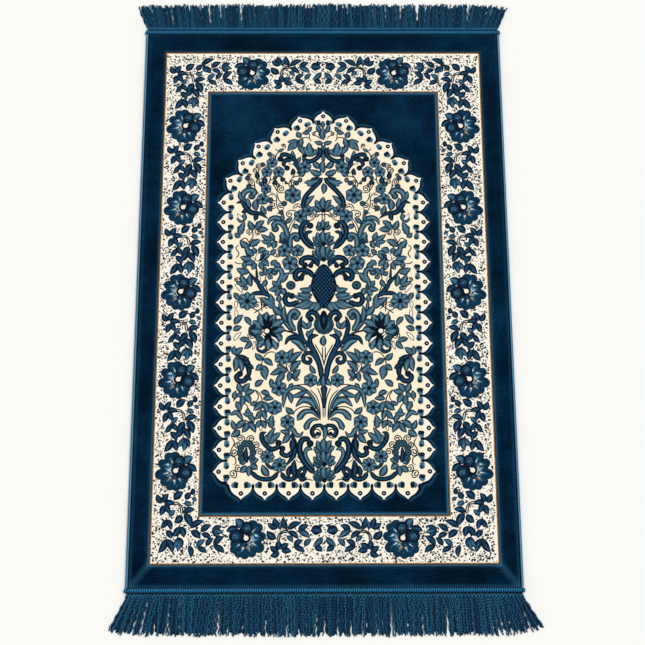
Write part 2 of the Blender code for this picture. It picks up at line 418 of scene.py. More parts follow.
INK = InlaidYarn("ink_blue_outline_yarn", "#06131F", "#0A1D2C")
LEAF_BLUE = InlaidYarn("mid_blue_printed_yarn", "#1F3E4F", "#6A8D9E", 0.6, 2.0, 1.0, "#456B80")
HEART_BLUE = InlaidYarn("darkest_blue_printed_yarn", "#04121F", "#06182A")
MARK_BLUE = InlaidYarn("shaded_mark_yarn", "#4C7489", "#214E69", 0.5, 2.0, 0.8)
MESH_BLUE = InlaidYarn("mesh_blue_printed_yarn", "#10304C", "#3C7298", 0.3, 2.0, 0.8)
DEEP_BLUE = InlaidYarn("deep_blue_printed_yarn", "#061625", "#23506C", 0.4, 2.0, 1.0, "#0F3049")
CREAM = InlaidYarn("cream_flat_ground_yarn", "#FDF0D5", "#FDF8EB", 0.3, 3.0)
SPECKLED_CREAM = InlaidYarn("cream_border_ground_yarn", "#EFE4CE", "#FEF8EA", 0.5, 3.0)
WHITE = InlaidYarn("white_highlight_yarn", "#F4ECDC", "#FBF6EA", 0.2)
BORDER_DARK = InlaidYarn("navy_border_leaf_yarn", "#071526", "#2A5674", 0.7, 2.2, 1.0, "#10304B")
BORDER_BLUE = InlaidYarn("blue_border_leaf_yarn", "#0C2236", "#44708A", 0.6, 2.2, 0.9, "#244E69")
BORDER_INK = InlaidYarn("ink_border_line_yarn", "#061220", "#0A1C30")
BORDER_PALE = InlaidYarn("shaded_petal_yarn", "#0D344E", "#E2E0D4", 0.5, 2.4, 0.8, "#437C98")
FLECK_DARK = InlaidYarn("navy_fleck_yarn", "#16263C", "#0A1626", 0.3)
FLECK_PALE = InlaidYarn("grey_fleck_yarn", "#9C9484", "#4C5C6C", 0.3)
OCHRE = InlaidYarn("ochre_stamen_yarn", "#8E6A3C", "#D8B078", 0.4)
GOLD = InlaidYarn("gold_line_yarn", "#64421C", "#C69250", 0.9, 2.2)
GOLD_SHADE = InlaidYarn("brown_line_yarn", "#20120A", "#3C2614", 0.4, 2.5)
BACKING = InlaidYarn("grey_woven_backing", "#8E8A80", "#A8A398", 0.6, 1.5)
# The wound yarns paint shade in their darkest colour and a highlight in their lightest; the shaded fringe
# yarn colours the dark layer that stands in for shade under the fringe.
EDGE_YARN = WoundYarn("overcast_edge_yarn", "#020E1B", "#105680", "#86BCD4")
CORD_YARN = WoundYarn("whipped_end_cord_yarn", "#010B16", "#064C74", "#44A2CC")
FRINGE_YARN = WoundYarn("two_ply_fringe_yarn", "#020E19", "#0D3B59", "#2E7396")
SHADE_UNDER_YARN = WoundYarn("shaded_fringe_yarn", "#020F1B", "#0B2C45", "#174864")


# Mesh building


class MeshDraft:
    """Corners, faces and one tone a corner, gathered before they become a piece."""

    def __init__(self) -> None:
        """Start with nothing gathered."""
        self.corners: list[tuple[float, float, float]] = []
        self.tones: list[float] = []
        self.faces: list[tuple[int, ...]] = []
        self.slots: list[int] = []

    def corner(self, x: float, y: float, z: float, tone: float = 0.0) -> int:
        """Add a corner and return its number.

        Args:
            x: its place across the rug.
            y: its place along the rug.
            z: its height.
            tone: its tone.

        Returns:
            The corner's number.
        """
        self.corners.append((x * MM, y * MM, z * MM))
        self.tones.append(tone)
        return len(self.corners) - 1

    def ring(self, points: Iterable[Vector], height: float, tone: float = 0.0) -> list[int]:
        """Add the corners of a level loop and return their numbers."""
        return [self.corner(point.x, point.y, height, tone) for point in points]

    def face(self, *corners: int, slot: int = 0) -> None:
        """Add one face."""
        self.faces.append(corners)
        self.slots.append(slot)

    def band(self, low: Sequence[int], high: Sequence[int], slot: int = 0) -> None:
        """Join two closed rings of equal count with four-sided faces.

        Args:
            low: one ring's corner numbers.
            high: the other ring's.
            slot: the material slot of the new faces.
        """
        count = len(low)
        for index in range(count):
            after = (index + 1) % count
            self.face(low[index], low[after], high[after], high[index], slot=slot)

    def bands(self, rings: Sequence[Sequence[int]], closed: bool = False) -> None:
        """Join each ring to the next, and the last to the first where they close up.

        Args:
            rings: rings of corner numbers.
            closed: whether the last ring joins the first.
        """
        for low, high in zip(rings, rings[1:]):
            self.band(low, high)
        if closed:
            self.band(rings[-1], rings[0])

    def tube(self, rings: Sequence[Sequence[int]]) -> None:
        """Join a row of rings into a body with both its ends capped.

        Args:
            rings: rings of corner numbers, from one cap to the other.
        """
        self.bands(rings)
        self.face(*rings[0])
        self.face(*rings[-1])

    def fill(self, loops: Sequence[Sequence[int]], slot: int = 0) -> None:
        """Fill the area inside the first ring and outside any others.

        Args:
            loops: rings of corner numbers at one height.
            slot: the material slot of the new faces.
        """
        flat = bmesh.new()
        numbers: dict[bmesh.types.BMVert, int] = {}
        edges = []
        for loop in loops:
            verts = [flat.verts.new(self.corners[number]) for number in loop]
            numbers.update(zip(verts, loop))
            edges += [flat.edges.new((verts[i - 1], verts[i])) for i in range(len(verts))]
        filled = bmesh.ops.triangle_fill(flat, use_beauty=True, edges=edges)
        for item in filled["geom"]:
            if isinstance(item, bmesh.types.BMFace):
                self.face(*(numbers[vert] for vert in item.verts), slot=slot)
        flat.free()

    def triangles(self) -> int:
        """Return how many triangles the faces make."""
        return sum(len(face) - 2 for face in self.faces)

    def piece(
        self, name: str, finishes: Sequence[bpy.types.Material], slot: str, smooth_below: float = 0.0
    ) -> bpy.types.Object:
        """Turn the draft into an object that rides on the rug.

        Args:
            name: the piece's name.
            finishes: its materials, in slot order.
            slot: not used.
            smooth_below: the angle in degrees up to which faces shade smoothly.

        Returns:
            The new object.
        """
        mesh = bpy.data.meshes.new(name)
        mesh.from_pydata(self.corners, [], self.faces)
        mesh.attributes.new("tone", "FLOAT", "POINT").data.foreach_set("value", self.tones)
        mesh.polygons.foreach_set("material_index", self.slots)
        shell = bmesh.new()
        shell.from_mesh(mesh)
        bmesh.ops.recalc_face_normals(shell, faces=shell.faces)
        shell.to_mesh(mesh)
        shell.free()
        if smooth_below > 0.0:
            mesh.shade_smooth()
            mesh.set_sharp_from_angle(angle=radians(smooth_below))
        for finish in finishes:
            mesh.materials.append(finish)
        item = bpy.data.objects.new(name, mesh)
        bpy.context.scene.collection.objects.link(item)
        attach(item, "root")
        LOG.info("%s: %d triangles", name, self.triangles())
        return item


def vec(x: float, y: float) -> Vector:
    """Return a flat vector."""
    return Vector((x, y))


def along_curve(points: Sequence[Vector], step: float) -> list[Vector]:
    """Return a smooth curve through given points.

    Args:
        points: two or more points that the curve passes through.
        step: about how far apart the returned points are.

    Returns:
        The points of a Catmull-Rom curve.
    """
    if len(points) == 2:
        count = max(2, round((points[1] - points[0]).length / step))
        return [points[0].lerp(points[1], i / count) for i in range(count + 1)]
    before = points[0] * 2.0 - points[1]
    after = points[-1] * 2.0 - points[-2]
    padded = [before, *points, after]
    path = [points[0]]
    for i in range(1, len(padded) - 2):
        a, b, c, d = padded[i - 1 : i + 3]
        count = max(2, round((c - b).length / step))
        for k in range(1, count + 1):
            t = k / count
            pull = (c - a) * t + (a * 2.0 - b * 5.0 + c * 4.0 - d) * t**2
            path.append(b + (pull + (b * 3.0 - a - c * 3.0 + d) * t**3) * 0.5)
    return path


def around(centre: Vector, radius: float, count: int, squash: float = 1.0) -> list[Vector]:
    """Return evenly spaced points round a circle, or round an oval that is squashed in Y.

    Args:
        centre: the middle.
        radius: the reach in X.
        count: how many points.
        squash: the reach in Y as a share of that in X.

    Returns:
        The points, anticlockwise.
    """
    return [
        centre + vec(radius * cos(TURN * i / count), squash * radius * sin(TURN * i / count))
        for i in range(count)
    ]


def rectangle(half_x: float, half_y: float, flank: float = 0.0) -> list[Vector]:
    """Return a rectangle's corners, clockwise from above, each with flank points if asked.

    Args:
        half_x: half the width.
        half_y: half the length.
        flank: how far beside each corner its two flank points lie, or zero for none.

    Returns:
        Four points, or twelve with the flanks.
    """
    corners = [vec(-half_x, -half_y), vec(-half_x, half_y), vec(half_x, half_y), vec(half_x, -half_y)]
    if flank == 0.0:
        return corners
    points = []
    for index, corner in enumerate(corners):
        before, after = (corners[(index + turn) % 4] - corner for turn in (-1, 1))
        points += [corner + before.normalized() * flank, corner, corner + after.normalized() * flank]
    return points


# The flat pattern's drawing kit


class Yarn(Enum):
    """A yarn of the flat pattern, by its tone in words."""

    GROUND = "the palest speckle"
    INK = "ink blue outlines"
    BLUE = "mid blue leaves and petals"
    DARK = "deep blue scrolls"
    MESH = "the pomegranate's mesh"
    PALE = "pale petals"
    HEART = "flower hearts"
    WHITE = "white tongues and dots"
    OCHRE = "stamens"


class Taper(Enum):
    """How the width of a stroke changes along its way."""

    LEAF = "pointed at both ends"
    BLADE = "full at the foot and pointed at the tip"
    STEM = "even, with short pointed ends"
    HORN = "thin at the foot and full at the tip"

    def share(self, t: float) -> float:
        """Return the share of the full width at a share of the length.

        Args:
            t: the share of the length.

        Returns:
            A share from zero to one.
        """
        if self is Taper.LEAF:
            return sin(pi * t**0.85) ** 0.85
        if self is Taper.BLADE:
            return min(1.0, t * 8.0) * (1.0 - t) ** 0.7
        if self is Taper.HORN:
            return t**0.6 * min(1.0, (1.0 - t) * 8.0)
        return min(1.0, t * 10.0, (1.0 - t) * 10.0)


@dataclass(frozen=True)
class Pen:
    """Where and how a motif is drawn: its origin, turn in radians, size and side."""

    x: float = 0.0
    y: float = 0.0
    turn: float = 0.0
    scale: float = 1.0
    flip: int = 1

    def at(self, x: float, y: float) -> Vector:
        """Return a point of the motif in the rug's plane.

        Args:
            x: the point's place across the motif.
            y: its place along the motif.

        Returns:
            The point, turned, sized and mirrored.
        """
        across = self.scale * (x * cos(self.turn) - y * sin(self.turn))
        along = self.scale * (x * sin(self.turn) + y * cos(self.turn))
        return vec(self.x + self.flip * across, self.y + along)


class Leaf(NamedTuple):
    """A leaf from its foot to its tip, with its width and its yarn."""

    x: float
    y: float
    to_x: float
    to_y: float
    width: float
    yarn: Yarn = Yarn.BLUE


class Bloom(NamedTuple):
    """A round flower: its middle, radius and number of lobes."""

    x: float
    y: float
    radius: float
    lobes: int = 6


class Scroll(NamedTuple):
    """A curved stroke: its width, its first point's end ball, its taper and its points."""

    width: float
    ball: float
    taper: Taper
    points: tuple[tuple[float, float], ...]


class Vine(NamedTuple):
    """A thin stem through its points, and the eye of the spiral that it ends in, if any."""

    points: tuple[tuple[float, float], ...]
    eye: tuple[float, float] | None = None


class Fan(NamedTuple):
    """A palmette that opens upward: its foot, reach, number of petals and spread in degrees."""

    x: float
    y: float
    reach: float
    petals: int
    spread: float


class Drawing:
    """The flat shapes of one part of the pattern, gathered by yarn on one ground.

    Each shape lies a hair above the one drawn before it, so a motif's parts overlap in order.
    """

    outline = 1.15
    dome = 0.02
    foot = 5.2
    layer = 0.013
    stagger = 0.0017
    plain_step = 2.6
    toothed_step = 1.5

    def __init__(self, ground: float) -> None:
        """Start an empty drawing on a ground at this height.

        Args:
            ground: height of the cloth that it lies on.
        """
        self.ground = ground
        self.level = 0.0
        self.drafts = {yarn: MeshDraft() for yarn in Yarn}
        self.covers: list[Circle] = []
        self.count = 0

    def begin(self, level: float) -> None:
        """Start a motif at a height above the ground, in millimetres."""
        self.count += 1
        self.level = level + (self.count % 7) * self.stagger

    def _height(self) -> float:
        """Return the height of the next shape, a hair above the last."""
        self.level += self.layer
        return self.ground + self.level

    def ribbon(self, yarn: Yarn, path: Sequence[Vector], halves: Sequence[float]) -> None:
        """Lay a ribbon along a path.

        Args:
            yarn: the yarn it is woven in.
            path: its middle line in the rug's plane.
            halves: half its width at each point of the path.
        """
        draft = self.drafts[yarn]
        height = self._height()
        last = len(path) - 1
        rows = []
        for i, (point, half) in enumerate(zip(path, halves)):
            if half < 0.05:
                rows.append([draft.corner(point.x, point.y, height)])
                continue
            run = path[min(i + 1, last)] - path[max(i - 1, 0)]
            side = vec(-run.y, run.x).normalized() * half
            rows.append(
                [
                    draft.corner(point.x + side.x, point.y + side.y, height),
                    draft.corner(point.x, point.y, height + self.dome, 1.0),
                    draft.corner(point.x - side.x, point.y - side.y, height),
                    draft.corner(point.x, point.y, self.foot),
                ]
            )
            self.covers.append((point.x, point.y, half))
        for low, high in zip(rows, rows[1:]):
            if len(low) == len(high) == 4:
                draft.band(low, high)
            elif len(low) + len(high) == 5:
                (tip,), ring = sorted((low, high), key=len)
                for k in range(4):
                    draft.face(tip, ring[k], ring[(k + 1) % 4])
        for row in (rows[0], rows[-1]):
            if len(row) == 4:
                draft.face(*row)

    def blot(self, yarn: Yarn, middle: Vector, rim: Sequence[Vector], tone: float = 1.0) -> None:
        """Lay a patch that every point of its rim can see from its middle.

        Args:
            yarn: the yarn it is woven in.
            middle: its middle in the rug's plane.
            rim: the points round it.
            tone: the tone at its middle; the rim's is zero.
        """
        draft = self.drafts[yarn]
        height = self._height()
        top = draft.corner(middle.x, middle.y, height + self.dome, tone)
        low = draft.corner(middle.x, middle.y, self.foot)
        edge = draft.ring(rim, height)
        for i, corner in enumerate(edge):
            after = edge[(i + 1) % len(edge)]
            draft.face(top, corner, after)
            draft.face(low, after, corner)
        reach = sum((point - middle).length for point in rim) / len(rim)
        self.covers.append((middle.x, middle.y, reach))

    def pieces(self, part: str, finishes: dict[Yarn, InlaidYarn]) -> list[bpy.types.Object]:
        """Make one piece of each yarn.

        Args:
            part: the part of the rug that the pieces' names start with.
            finishes: the finish of each yarn that was drawn with.

        Returns:
            The pieces, one a yarn.
        """
        made = []
        for yarn, finish in finishes.items():
            name = f"{part}_{yarn.name.lower()}_pattern"
            made.append(self.drafts[yarn].piece(name, (finish.build(),), "pile"))
        return made

    def stroke(
        self,
        pen: Pen,
        yarn: Yarn,
        points: Sequence[tuple[float, float]],
        width: float,
        taper: Taper = Taper.STEM,
        outlined: bool = True,
        teeth: int = 0,
    ) -> None:
        """Draw a tapered stroke through given points, over its ink outline.

        Args:
            pen: where it is drawn.
            yarn: the yarn it is woven in.
            points: the points it passes through.
            width: its full width.
            taper: how the width changes.
            outlined: whether an ink outline lies under it.
            teeth: how many lobes each of its edges has, or zero for plain edges.
        """
        step = (self.toothed_step if teeth else self.plain_step) * pen.scale
        path = along_curve([pen.at(x, y) for x, y in points], step)
        last = len(path) - 1
        half = width * pen.scale / 2.0
        halves = [half * taper.share(i / last) for i in range(last + 1)]
        if teeth:
            halves = [
                wide * (0.74 + 0.26 * abs(sin(pi * teeth * i / last))) for i, wide in enumerate(halves)
            ]
        if outlined:
            start = path[0] + (path[0] - path[1]).normalized() * self.outline
            end = path[-1] + (path[-1] - path[-2]).normalized() * self.outline
            wide = [share + self.outline for share in halves]
            self.ribbon(Yarn.INK, [start, *path, end], [0.0, *wide, 0.0])
        self.ribbon(yarn, path, halves)

    def disc(
        self,
        pen: Pen,
        yarn: Yarn,
        x: float,
        y: float,
        radius: float,
        outlined: bool = False,
        squash: float = 1.0,
    ) -> None:
        """Draw a round or oval spot, with an ink outline under it if asked.

        Args:
            pen: where it is drawn.
            yarn: the yarn it is woven in.
            x: its middle across the motif.
            y: its middle along the motif.
            radius: its radius across.
            outlined: whether an ink outline lies under it.
            squash: its length as a share of its width.
        """
        middle = pen.at(x, y)
        reach = radius * pen.scale
        count = 8 if reach < 3.0 else 12
        if outlined:
            self.blot(Yarn.INK, middle, around(middle, reach + self.outline, count, squash))
        self.blot(yarn, middle, around(middle, reach, count, squash))

    def leaf(self, pen: Pen, item: Leaf, level: float = 0.12) -> None:
        """Draw a leaf with its ink outline and vein; a broad one has lobed edges.

        Args:
            pen: where it is drawn.
            item: the leaf.
            level: its height above the ground.
        """
        self.begin(level)
        across = item.to_x - item.x
        along = item.to_y - item.y
        middle = (item.x + across / 2.0 - along * 0.08, item.y + along / 2.0 + across * 0.08)
        route = ((item.x, item.y), middle, (item.to_x, item.to_y))
        teeth = 3 if item.width > 12.5 and item.yarn is Yarn.BLUE else 0
        self.stroke(pen, item.yarn, route, item.width, Taper.LEAF, teeth=teeth)
        if item.width > 6.5 and item.yarn is Yarn.BLUE:
            tip = (item.x + across * 0.72 - along * 0.05, item.y + along * 0.72 + across * 0.05)
            vein = (route[0], middle, tip)
            self.stroke(pen, Yarn.INK, vein, 0.6 + 0.07 * item.width, Taper.BLADE, False)

    def rays(
        self, pen: Pen, middle: tuple[float, float], turns: Iterable[float], reach: float, width: float
    ) -> None:
        """Draw ink rays out from a flower's middle at these angles in radians.

        Args:
            pen: where it is drawn.
            middle: the flower's middle.
            turns: the rays' angles.
            reach: how long they are.
            width: how wide they are.
        """
        for turn in turns:
            tip = (middle[0] + reach * cos(turn), middle[1] + reach * sin(turn))
            self.stroke(pen, Yarn.INK, (middle, tip), width, Taper.BLADE, False)

    def bloom(self, pen: Pen, item: Bloom, level: float = 0.2) -> None:
        """Draw a round flower: lobes, ink lines between them and a dark heart.

        Args:
            pen: where it is drawn.
            item: the flower.
            level: its height above the ground.
        """
        self.begin(level)
        step = TURN / item.lobes
        radius = item.radius
        width = 1.75 * radius * sin(step / 2.0)
        angles = [pi / 2.0 + step * k for k in range(item.lobes)]
        petals = []
        for angle in angles:
            tip = (item.x + 1.12 * radius * cos(angle), item.y + 1.12 * radius * sin(angle))
            petals.append((tip, (item.x, item.y)))
        wide = 2.0 * self.outline
        for petal in petals:
            self.stroke(pen, Yarn.INK, petal, width + wide, Taper.LEAF, False)
        for petal in petals:
            self.stroke(pen, Yarn.BLUE, petal, width, Taper.LEAF, False)
        self.rays(pen, (item.x, item.y), angles, 0.66 * radius, 1.3)
        self.disc(pen, Yarn.HEART, item.x, item.y, 0.24 * radius + 0.6)

    def vine(self, pen: Pen, item: Vine, width: float = 2.1) -> None:
        """Draw a thin ink stem and, where it has an eye, the spiral that winds in to it.

        Args:
            pen: where it is drawn.
            item: the vine.
            width: its full width.
        """
        self.begin(0.02)
        points = list(item.points)
        if item.eye is not None:
            reach_x = points[-1][0] - item.eye[0]
            reach_y = points[-1][1] - item.eye[1]
            run_x = points[-1][0] - points[-2][0]
            run_y = points[-1][1] - points[-2][1]
            hand = 1.0 if reach_x * run_y > reach_y * run_x else -1.0
            steps = 8
            for k in range(1, steps + 1):
                turn = hand * k / steps * 1.15 * TURN
                share = 1.0 - 0.72 * k / steps
                x = item.eye[0] + share * (reach_x * cos(turn) - reach_y * sin(turn))
                y = item.eye[1] + share * (reach_x * sin(turn) + reach_y * cos(turn))
                points.append((x, y))
            ball = 0.16 * hypot(reach_x, reach_y) + 0.7
            self.disc(pen, Yarn.INK, points[-1][0], points[-1][1], ball)
        self.stroke(pen, Yarn.INK, points, width, Taper.STEM, False)

    def scroll(self, pen: Pen, item: Scroll, yarn: Yarn, level: float = 0.08) -> None:
        """Draw a curved stroke and the ball at its start.

        Args:
            pen: where it is drawn.
            item: the scroll.
            yarn: the yarn it is woven in.
            level: its height above the ground.
        """
        self.begin(level)
        if item.ball > 0.0:
            x, y = item.points[0]
            self.disc(pen, yarn, x, y, item.ball, True)
        self.stroke(pen, yarn, item.points, item.width, item.taper)

    def fan(self, pen: Pen, item: Fan) -> None:
        """Draw a palmette: petals spread from one foot, the middle one longest and on top.

        Args:
            pen: where it is drawn.
            item: the palmette.
        """
        step = radians(item.spread) / (item.petals - 1)
        half = (item.petals - 1) // 2
        level = 0.16
        for k in range(half, -1, -1):
            for side in (1, -1) if k else (1,):
                angle = pi / 2.0 + side * step * k
                reach = item.reach * (1.0 - 0.2 * (k / half) ** 2)
                foot = 0.12 * item.reach
                petal = Leaf(
                    item.x + foot * cos(angle),
                    item.y + foot * sin(angle),
                    item.x + reach * cos(angle),
                    item.y + reach * sin(angle),
                    min(0.5, 1.25 * step) * item.reach,
                )
                self.leaf(pen, petal, level)
            level += 0.04
        self.begin(level)
        self.disc(pen, Yarn.HEART, item.x, item.y, 0.1 * item.reach + 0.6, True)


# The woven panel


@dataclass
class WovenPanel:
    """The woven base of the rug, with its plain backing below and the pile's foot at its sides."""

    half_x: float = 343.5
    half_y: float = 540.1
    top: float = 5.4
    round_off: float = 0.8

    def build(self, pile: bpy.types.Material) -> bpy.types.Object:
        """Make the panel as one closed slab.

        Args:
            pile: the navy velour, for its top and sides.

        Returns:
            The panel.
        """
        draft = MeshDraft()
        inset = self.round_off
        under = draft.ring(rectangle(self.half_x - inset, self.half_y - inset), 0.0, 0.5)
        side = draft.ring(rectangle(self.half_x, self.half_y), inset)
        rim = draft.ring(rectangle(self.half_x, self.half_y), self.top)
        draft.face(*under, slot=1)
        draft.band(under, side, slot=1)
        draft.band(side, rim)
        draft.face(*rim)
        panel = draft.piece("woven_panel", (pile, BACKING.build()), "pile")
        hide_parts("pile_cloth")
        return panel


class PileStep(NamedTuple):
    """A ring of the pile's edge: how far it lies inside the outline, its height and the tone of its
    painted sheen highlight.
    """

    inset: float
    height: float
    tone: float


@dataclass
class PileBand:
    """The plain navy band round the rug, with mitred corners, and a highlight of sheen painted along the
    gold line, the outer edge and the near mitres.
    """

    half_x: float = 343.5
    half_y: float = 540.1
    inner_x: float = 310.0
    inner_y: float = 501.0
    mitre: float = 14.0
    mitre_sheen_tone: float = 0.2
    far_sheen_share: float = 0.3
    # The steps' tones paint a highlight of sheen on the band's rounded edges.
    outer_steps: tuple[PileStep, ...] = (
        PileStep(0.0, 4.9, 0.0), PileStep(0.0, 5.8, 0.1), PileStep(0.9, 6.5, 0.2),
        PileStep(2.6, 6.5, 0.1), PileStep(7.0, 6.5, 0.0),
    )
    inner_steps: tuple[PileStep, ...] = (
        PileStep(9.0, 6.5, 0.0), PileStep(3.6, 6.5, 0.06), PileStep(1.8, 6.5, 0.35),
        PileStep(0.8, 6.3, 0.65), PileStep(0.0, 5.2, 0.6),
    )

    def build(self, pile: bpy.types.Material) -> bpy.types.Object:
        """Make the band as one closed frame.

        Args:
            pile: the navy velour.

        Returns:
            The band.
        """
        draft = MeshDraft()
        rings = []
        for step in self.outer_steps:
            rings.append(self._ring(draft, self.half_x, self.half_y, -step.inset, step))
        for step in self.inner_steps:
            rings.append(self._ring(draft, self.inner_x, self.inner_y, step.inset, step))
        draft.bands(rings, closed=True)
        return draft.piece("navy_pile_band", (pile,), "pile")

    def _ring(
        self, draft: MeshDraft, half_x: float, half_y: float, out: float, step: PileStep
    ) -> list[int]:
        """Add one ring, with its painted sheen highlight lighter along the near mitres and fainter at the
        far end.

        Args:
            draft: the mesh to add to.
            half_x: half the outline's width.
            half_y: half its length.
            out: how far outside the outline the ring lies.
            step: its height and tone.

        Returns:
            The ring's corner numbers.
        """
        ring = draft.ring(rectangle(half_x + out, half_y + out, self.mitre), step.height, step.tone)
        for index, corner in enumerate(ring):
            if draft.corners[corner][1] > 0.0:
                draft.tones[corner] *= self.far_sheen_share
            elif index in (1, 10):
                draft.tones[corner] = min(1.0, step.tone + self.mitre_sheen_tone)
        return ring


# The niche's outline


class Offset(NamedTuple):
    """A line beside the niche's outline: how far its valleys and tips move out, its height and the tone
    of its painted sheen highlight.
    """

    valley: float
    tip: float
    height: float
    tone: float


@dataclass
class Scallop:
    """One cell of the niche's edge: the two valleys beside it and its depth."""

    start: Vector
    end: Vector
    depth: float

    def out(self) -> Vector:
        """Return the direction from the niche out through the scallop's tip."""
        run = self.end - self.start
        return vec(-run.y, run.x).normalized()

    def at(self, along: float, outward: float) -> Vector:
        """Return the point this far along from the start and this far out."""
        run = (self.end - self.start).normalized()
        return self.start + run * along + self.out() * outward


@dataclass
class NicheOutline:
    """The scalloped outline of the niche, within 5 mm of the solid's.

    The arch's valleys are set out on its right half, from the point down to the side.
    """

    side_x: float = 175.5
    side_foot: float = -355.0
    foot_x: float = 170.5
    foot_y: float = -359.0
    side_count: int = 14
    foot_count: int = 8
    side_depth: float = 26.5
    foot_depth: float = 28.0
    arch_depths: tuple[float, ...] = (23.0, 23.0, 24.5, 26.0, 26.0)
    crown_depth: float = 26.0
    bulge_steps: int = 6
    flick_steps: int = 3
    valleys: tuple[tuple[float, float], ...] = (
        (19.0, 348.5), (62.0, 333.5), (99.5, 305.5), (131.0, 273.5), (155.5, 238.5), (175.5, 203.0),
    )

    def runs(self) -> list[tuple[list[Vector], list[float]]]:
        """Return the four runs of valleys, clockwise, each with its scallops' depths.

        Returns:
            The left side, the arch, the right side and the foot.
        """
        left_foot = vec(-self.side_x, self.side_foot)
        right_foot = vec(self.side_x, self.side_foot)
        right = [vec(*valley) for valley in self.valleys]
        arch = [vec(-point.x, point.y) for point in reversed(right)] + right
        depths = [*reversed(self.arch_depths), self.crown_depth, *self.arch_depths]
        foot = (vec(self.foot_x, self.foot_y), vec(-self.foot_x, self.foot_y))
        return [
            (self._evenly(left_foot, arch[0], self.side_count), [self.side_depth] * self.side_count),
            (arch, depths),
            (self._evenly(arch[-1], right_foot, self.side_count), [self.side_depth] * self.side_count),
            (self._evenly(*foot, self.foot_count), [self.foot_depth] * self.foot_count),
        ]

    def scallops(self) -> list[Scallop]:
        """Return every scallop, clockwise from the left side's foot.

        Returns:
            The scallops, one for every two neighbouring valleys.
        """
        cells = []
        for valleys, depths in self.runs():
            for start, end, depth in zip(valleys, valleys[1:], depths):
                cells.append(Scallop(start, end, depth))
        return cells

    def line(self, valley_out: float, tip_out: float, chord: float = 1.0) -> list[Vector]:
        """Return the outline, moved outwards.

        Args:
            valley_out: how far its valleys move out.
            tip_out: how far its tips move out.
            chord: the share of each scallop's width that its curve keeps.

        Returns:
            The points of a closed line, with the same count for every offset.
        """
        cells = self.scallops()
        points = []
        for index, cell in enumerate(cells):
            before = cells[index - 1]
            after = cells[(index + 1) % len(cells)]
            start = self._moved(cell.start, before.out(), cell.out(), valley_out)
            end = self._moved(cell.end, cell.out(), after.out(), valley_out)
            points += self._ogee(start, end, cell.depth + tip_out - valley_out, chord)
            if (after.start - cell.end).length > 0.1:
                points.append(end)
        return points

    @staticmethod
    def _evenly(start: Vector, end: Vector, count: int) -> list[Vector]:
        """Return the points that divide a straight run into equal lengths."""
        return [start.lerp(end, index / count) for index in range(count + 1)]

    @staticmethod
    def _moved(point: Vector, before: Vector, after: Vector, distance: float) -> Vector:
        """Move a valley out between the directions of its two scallops."""
        return point + (before + after).normalized() * distance

    def _ogee(self, start: Vector, end: Vector, depth: float, chord: float) -> list[Vector]:
        """Return one ogee's points, without its last valley.

        Args:
            start: its first valley.
            end: its last valley.
            depth: how far out its tip lies.
            chord: the share of its width that its curve keeps.

        Returns:
            The points from the first valley on.
        """
        middle = (start + end) / 2.0
        half = (end - start) / 2.0
        out = vec(-half.y, half.x).normalized() * depth
        rise = self._half()
        rising = [middle - half * (p.x * chord) + out * p.y for p in rise]
        falling = [middle + half * (p.x * chord) + out * p.y for p in reversed(rise[:-1])]
        return [start, *rising, *falling]

    def _half(self) -> list[Vector]:
        """Return half an ogee, from after the valley at (1, 0) to the tip at (0, 1).

        Returns:
            The points of two curves that meet smoothly.
        """
        bulge = (vec(1.0, 0.0), vec(1.0, 0.3), vec(0.78, 0.53), vec(0.44, 0.67))
        flick = (vec(0.44, 0.67), vec(0.26, 0.745), vec(0.09, 0.81), vec(0.0, 1.0))
        points = []
        for (a, b, c, d), steps in ((bulge, self.bulge_steps), (flick, self.flick_steps)):
            for index in range(1, steps + 1):
                t = index / steps
                s = 1.0 - t
                points.append(a * s**3 + b * 3.0 * s * s * t + c * 3.0 * s * t * t + d * t**3)
        return points


@dataclass
class PileField:
    """The navy pile round the niche, rounded down to it and to the inner gold line, with a highlight of
    sheen painted on those rounded edges.
    """

    outline: NicheOutline
    inner_x: float = 222.0
    inner_y: float = 413.0
    # The steps' tones paint a highlight of sheen on the pile's rounded edges by the niche and the gold
    # line.
    niche_steps: tuple[Offset, ...] = (
        Offset(3.6, 1.0, 5.2, 0.0), Offset(4.2, 1.4, 6.1, 0.0), Offset(6.2, 2.8, 6.5, 0.2),
        Offset(8.0, 4.0, 6.5, 0.24), Offset(10.0, 5.5, 6.5, 0.06), Offset(13.0, 7.5, 6.5, 0.0),
    )
    line_steps: tuple[PileStep, ...] = (
        PileStep(0.0, 5.2, 0.3), PileStep(0.8, 6.3, 0.65), PileStep(1.8, 6.5, 0.7),
        PileStep(3.4, 6.5, 0.2), PileStep(6.5, 6.5, 0.0),
    )

    def build(self, pile: bpy.types.Material) -> bpy.types.Object:
        """Make the field as one closed piece.

        Args:
            pile: the navy velour.

        Returns:
            The field.
        """
        draft = MeshDraft()
        inner = [
            draft.ring(self.outline.line(step.valley, step.tip), step.height, step.tone)
            for step in self.niche_steps
        ]
        outer = [
            draft.ring(
                rectangle(self.inner_x - step.inset, self.inner_y - step.inset), step.height, step.tone
            )
            for step in self.line_steps
        ]
        draft.bands(inner)
        draft.bands(outer)
        draft.fill((outer[-1], inner[-1]))
        draft.fill((outer[0], inner[0]))
        return draft.piece("navy_pile_field", (pile,), "pile")


# The flat grounds


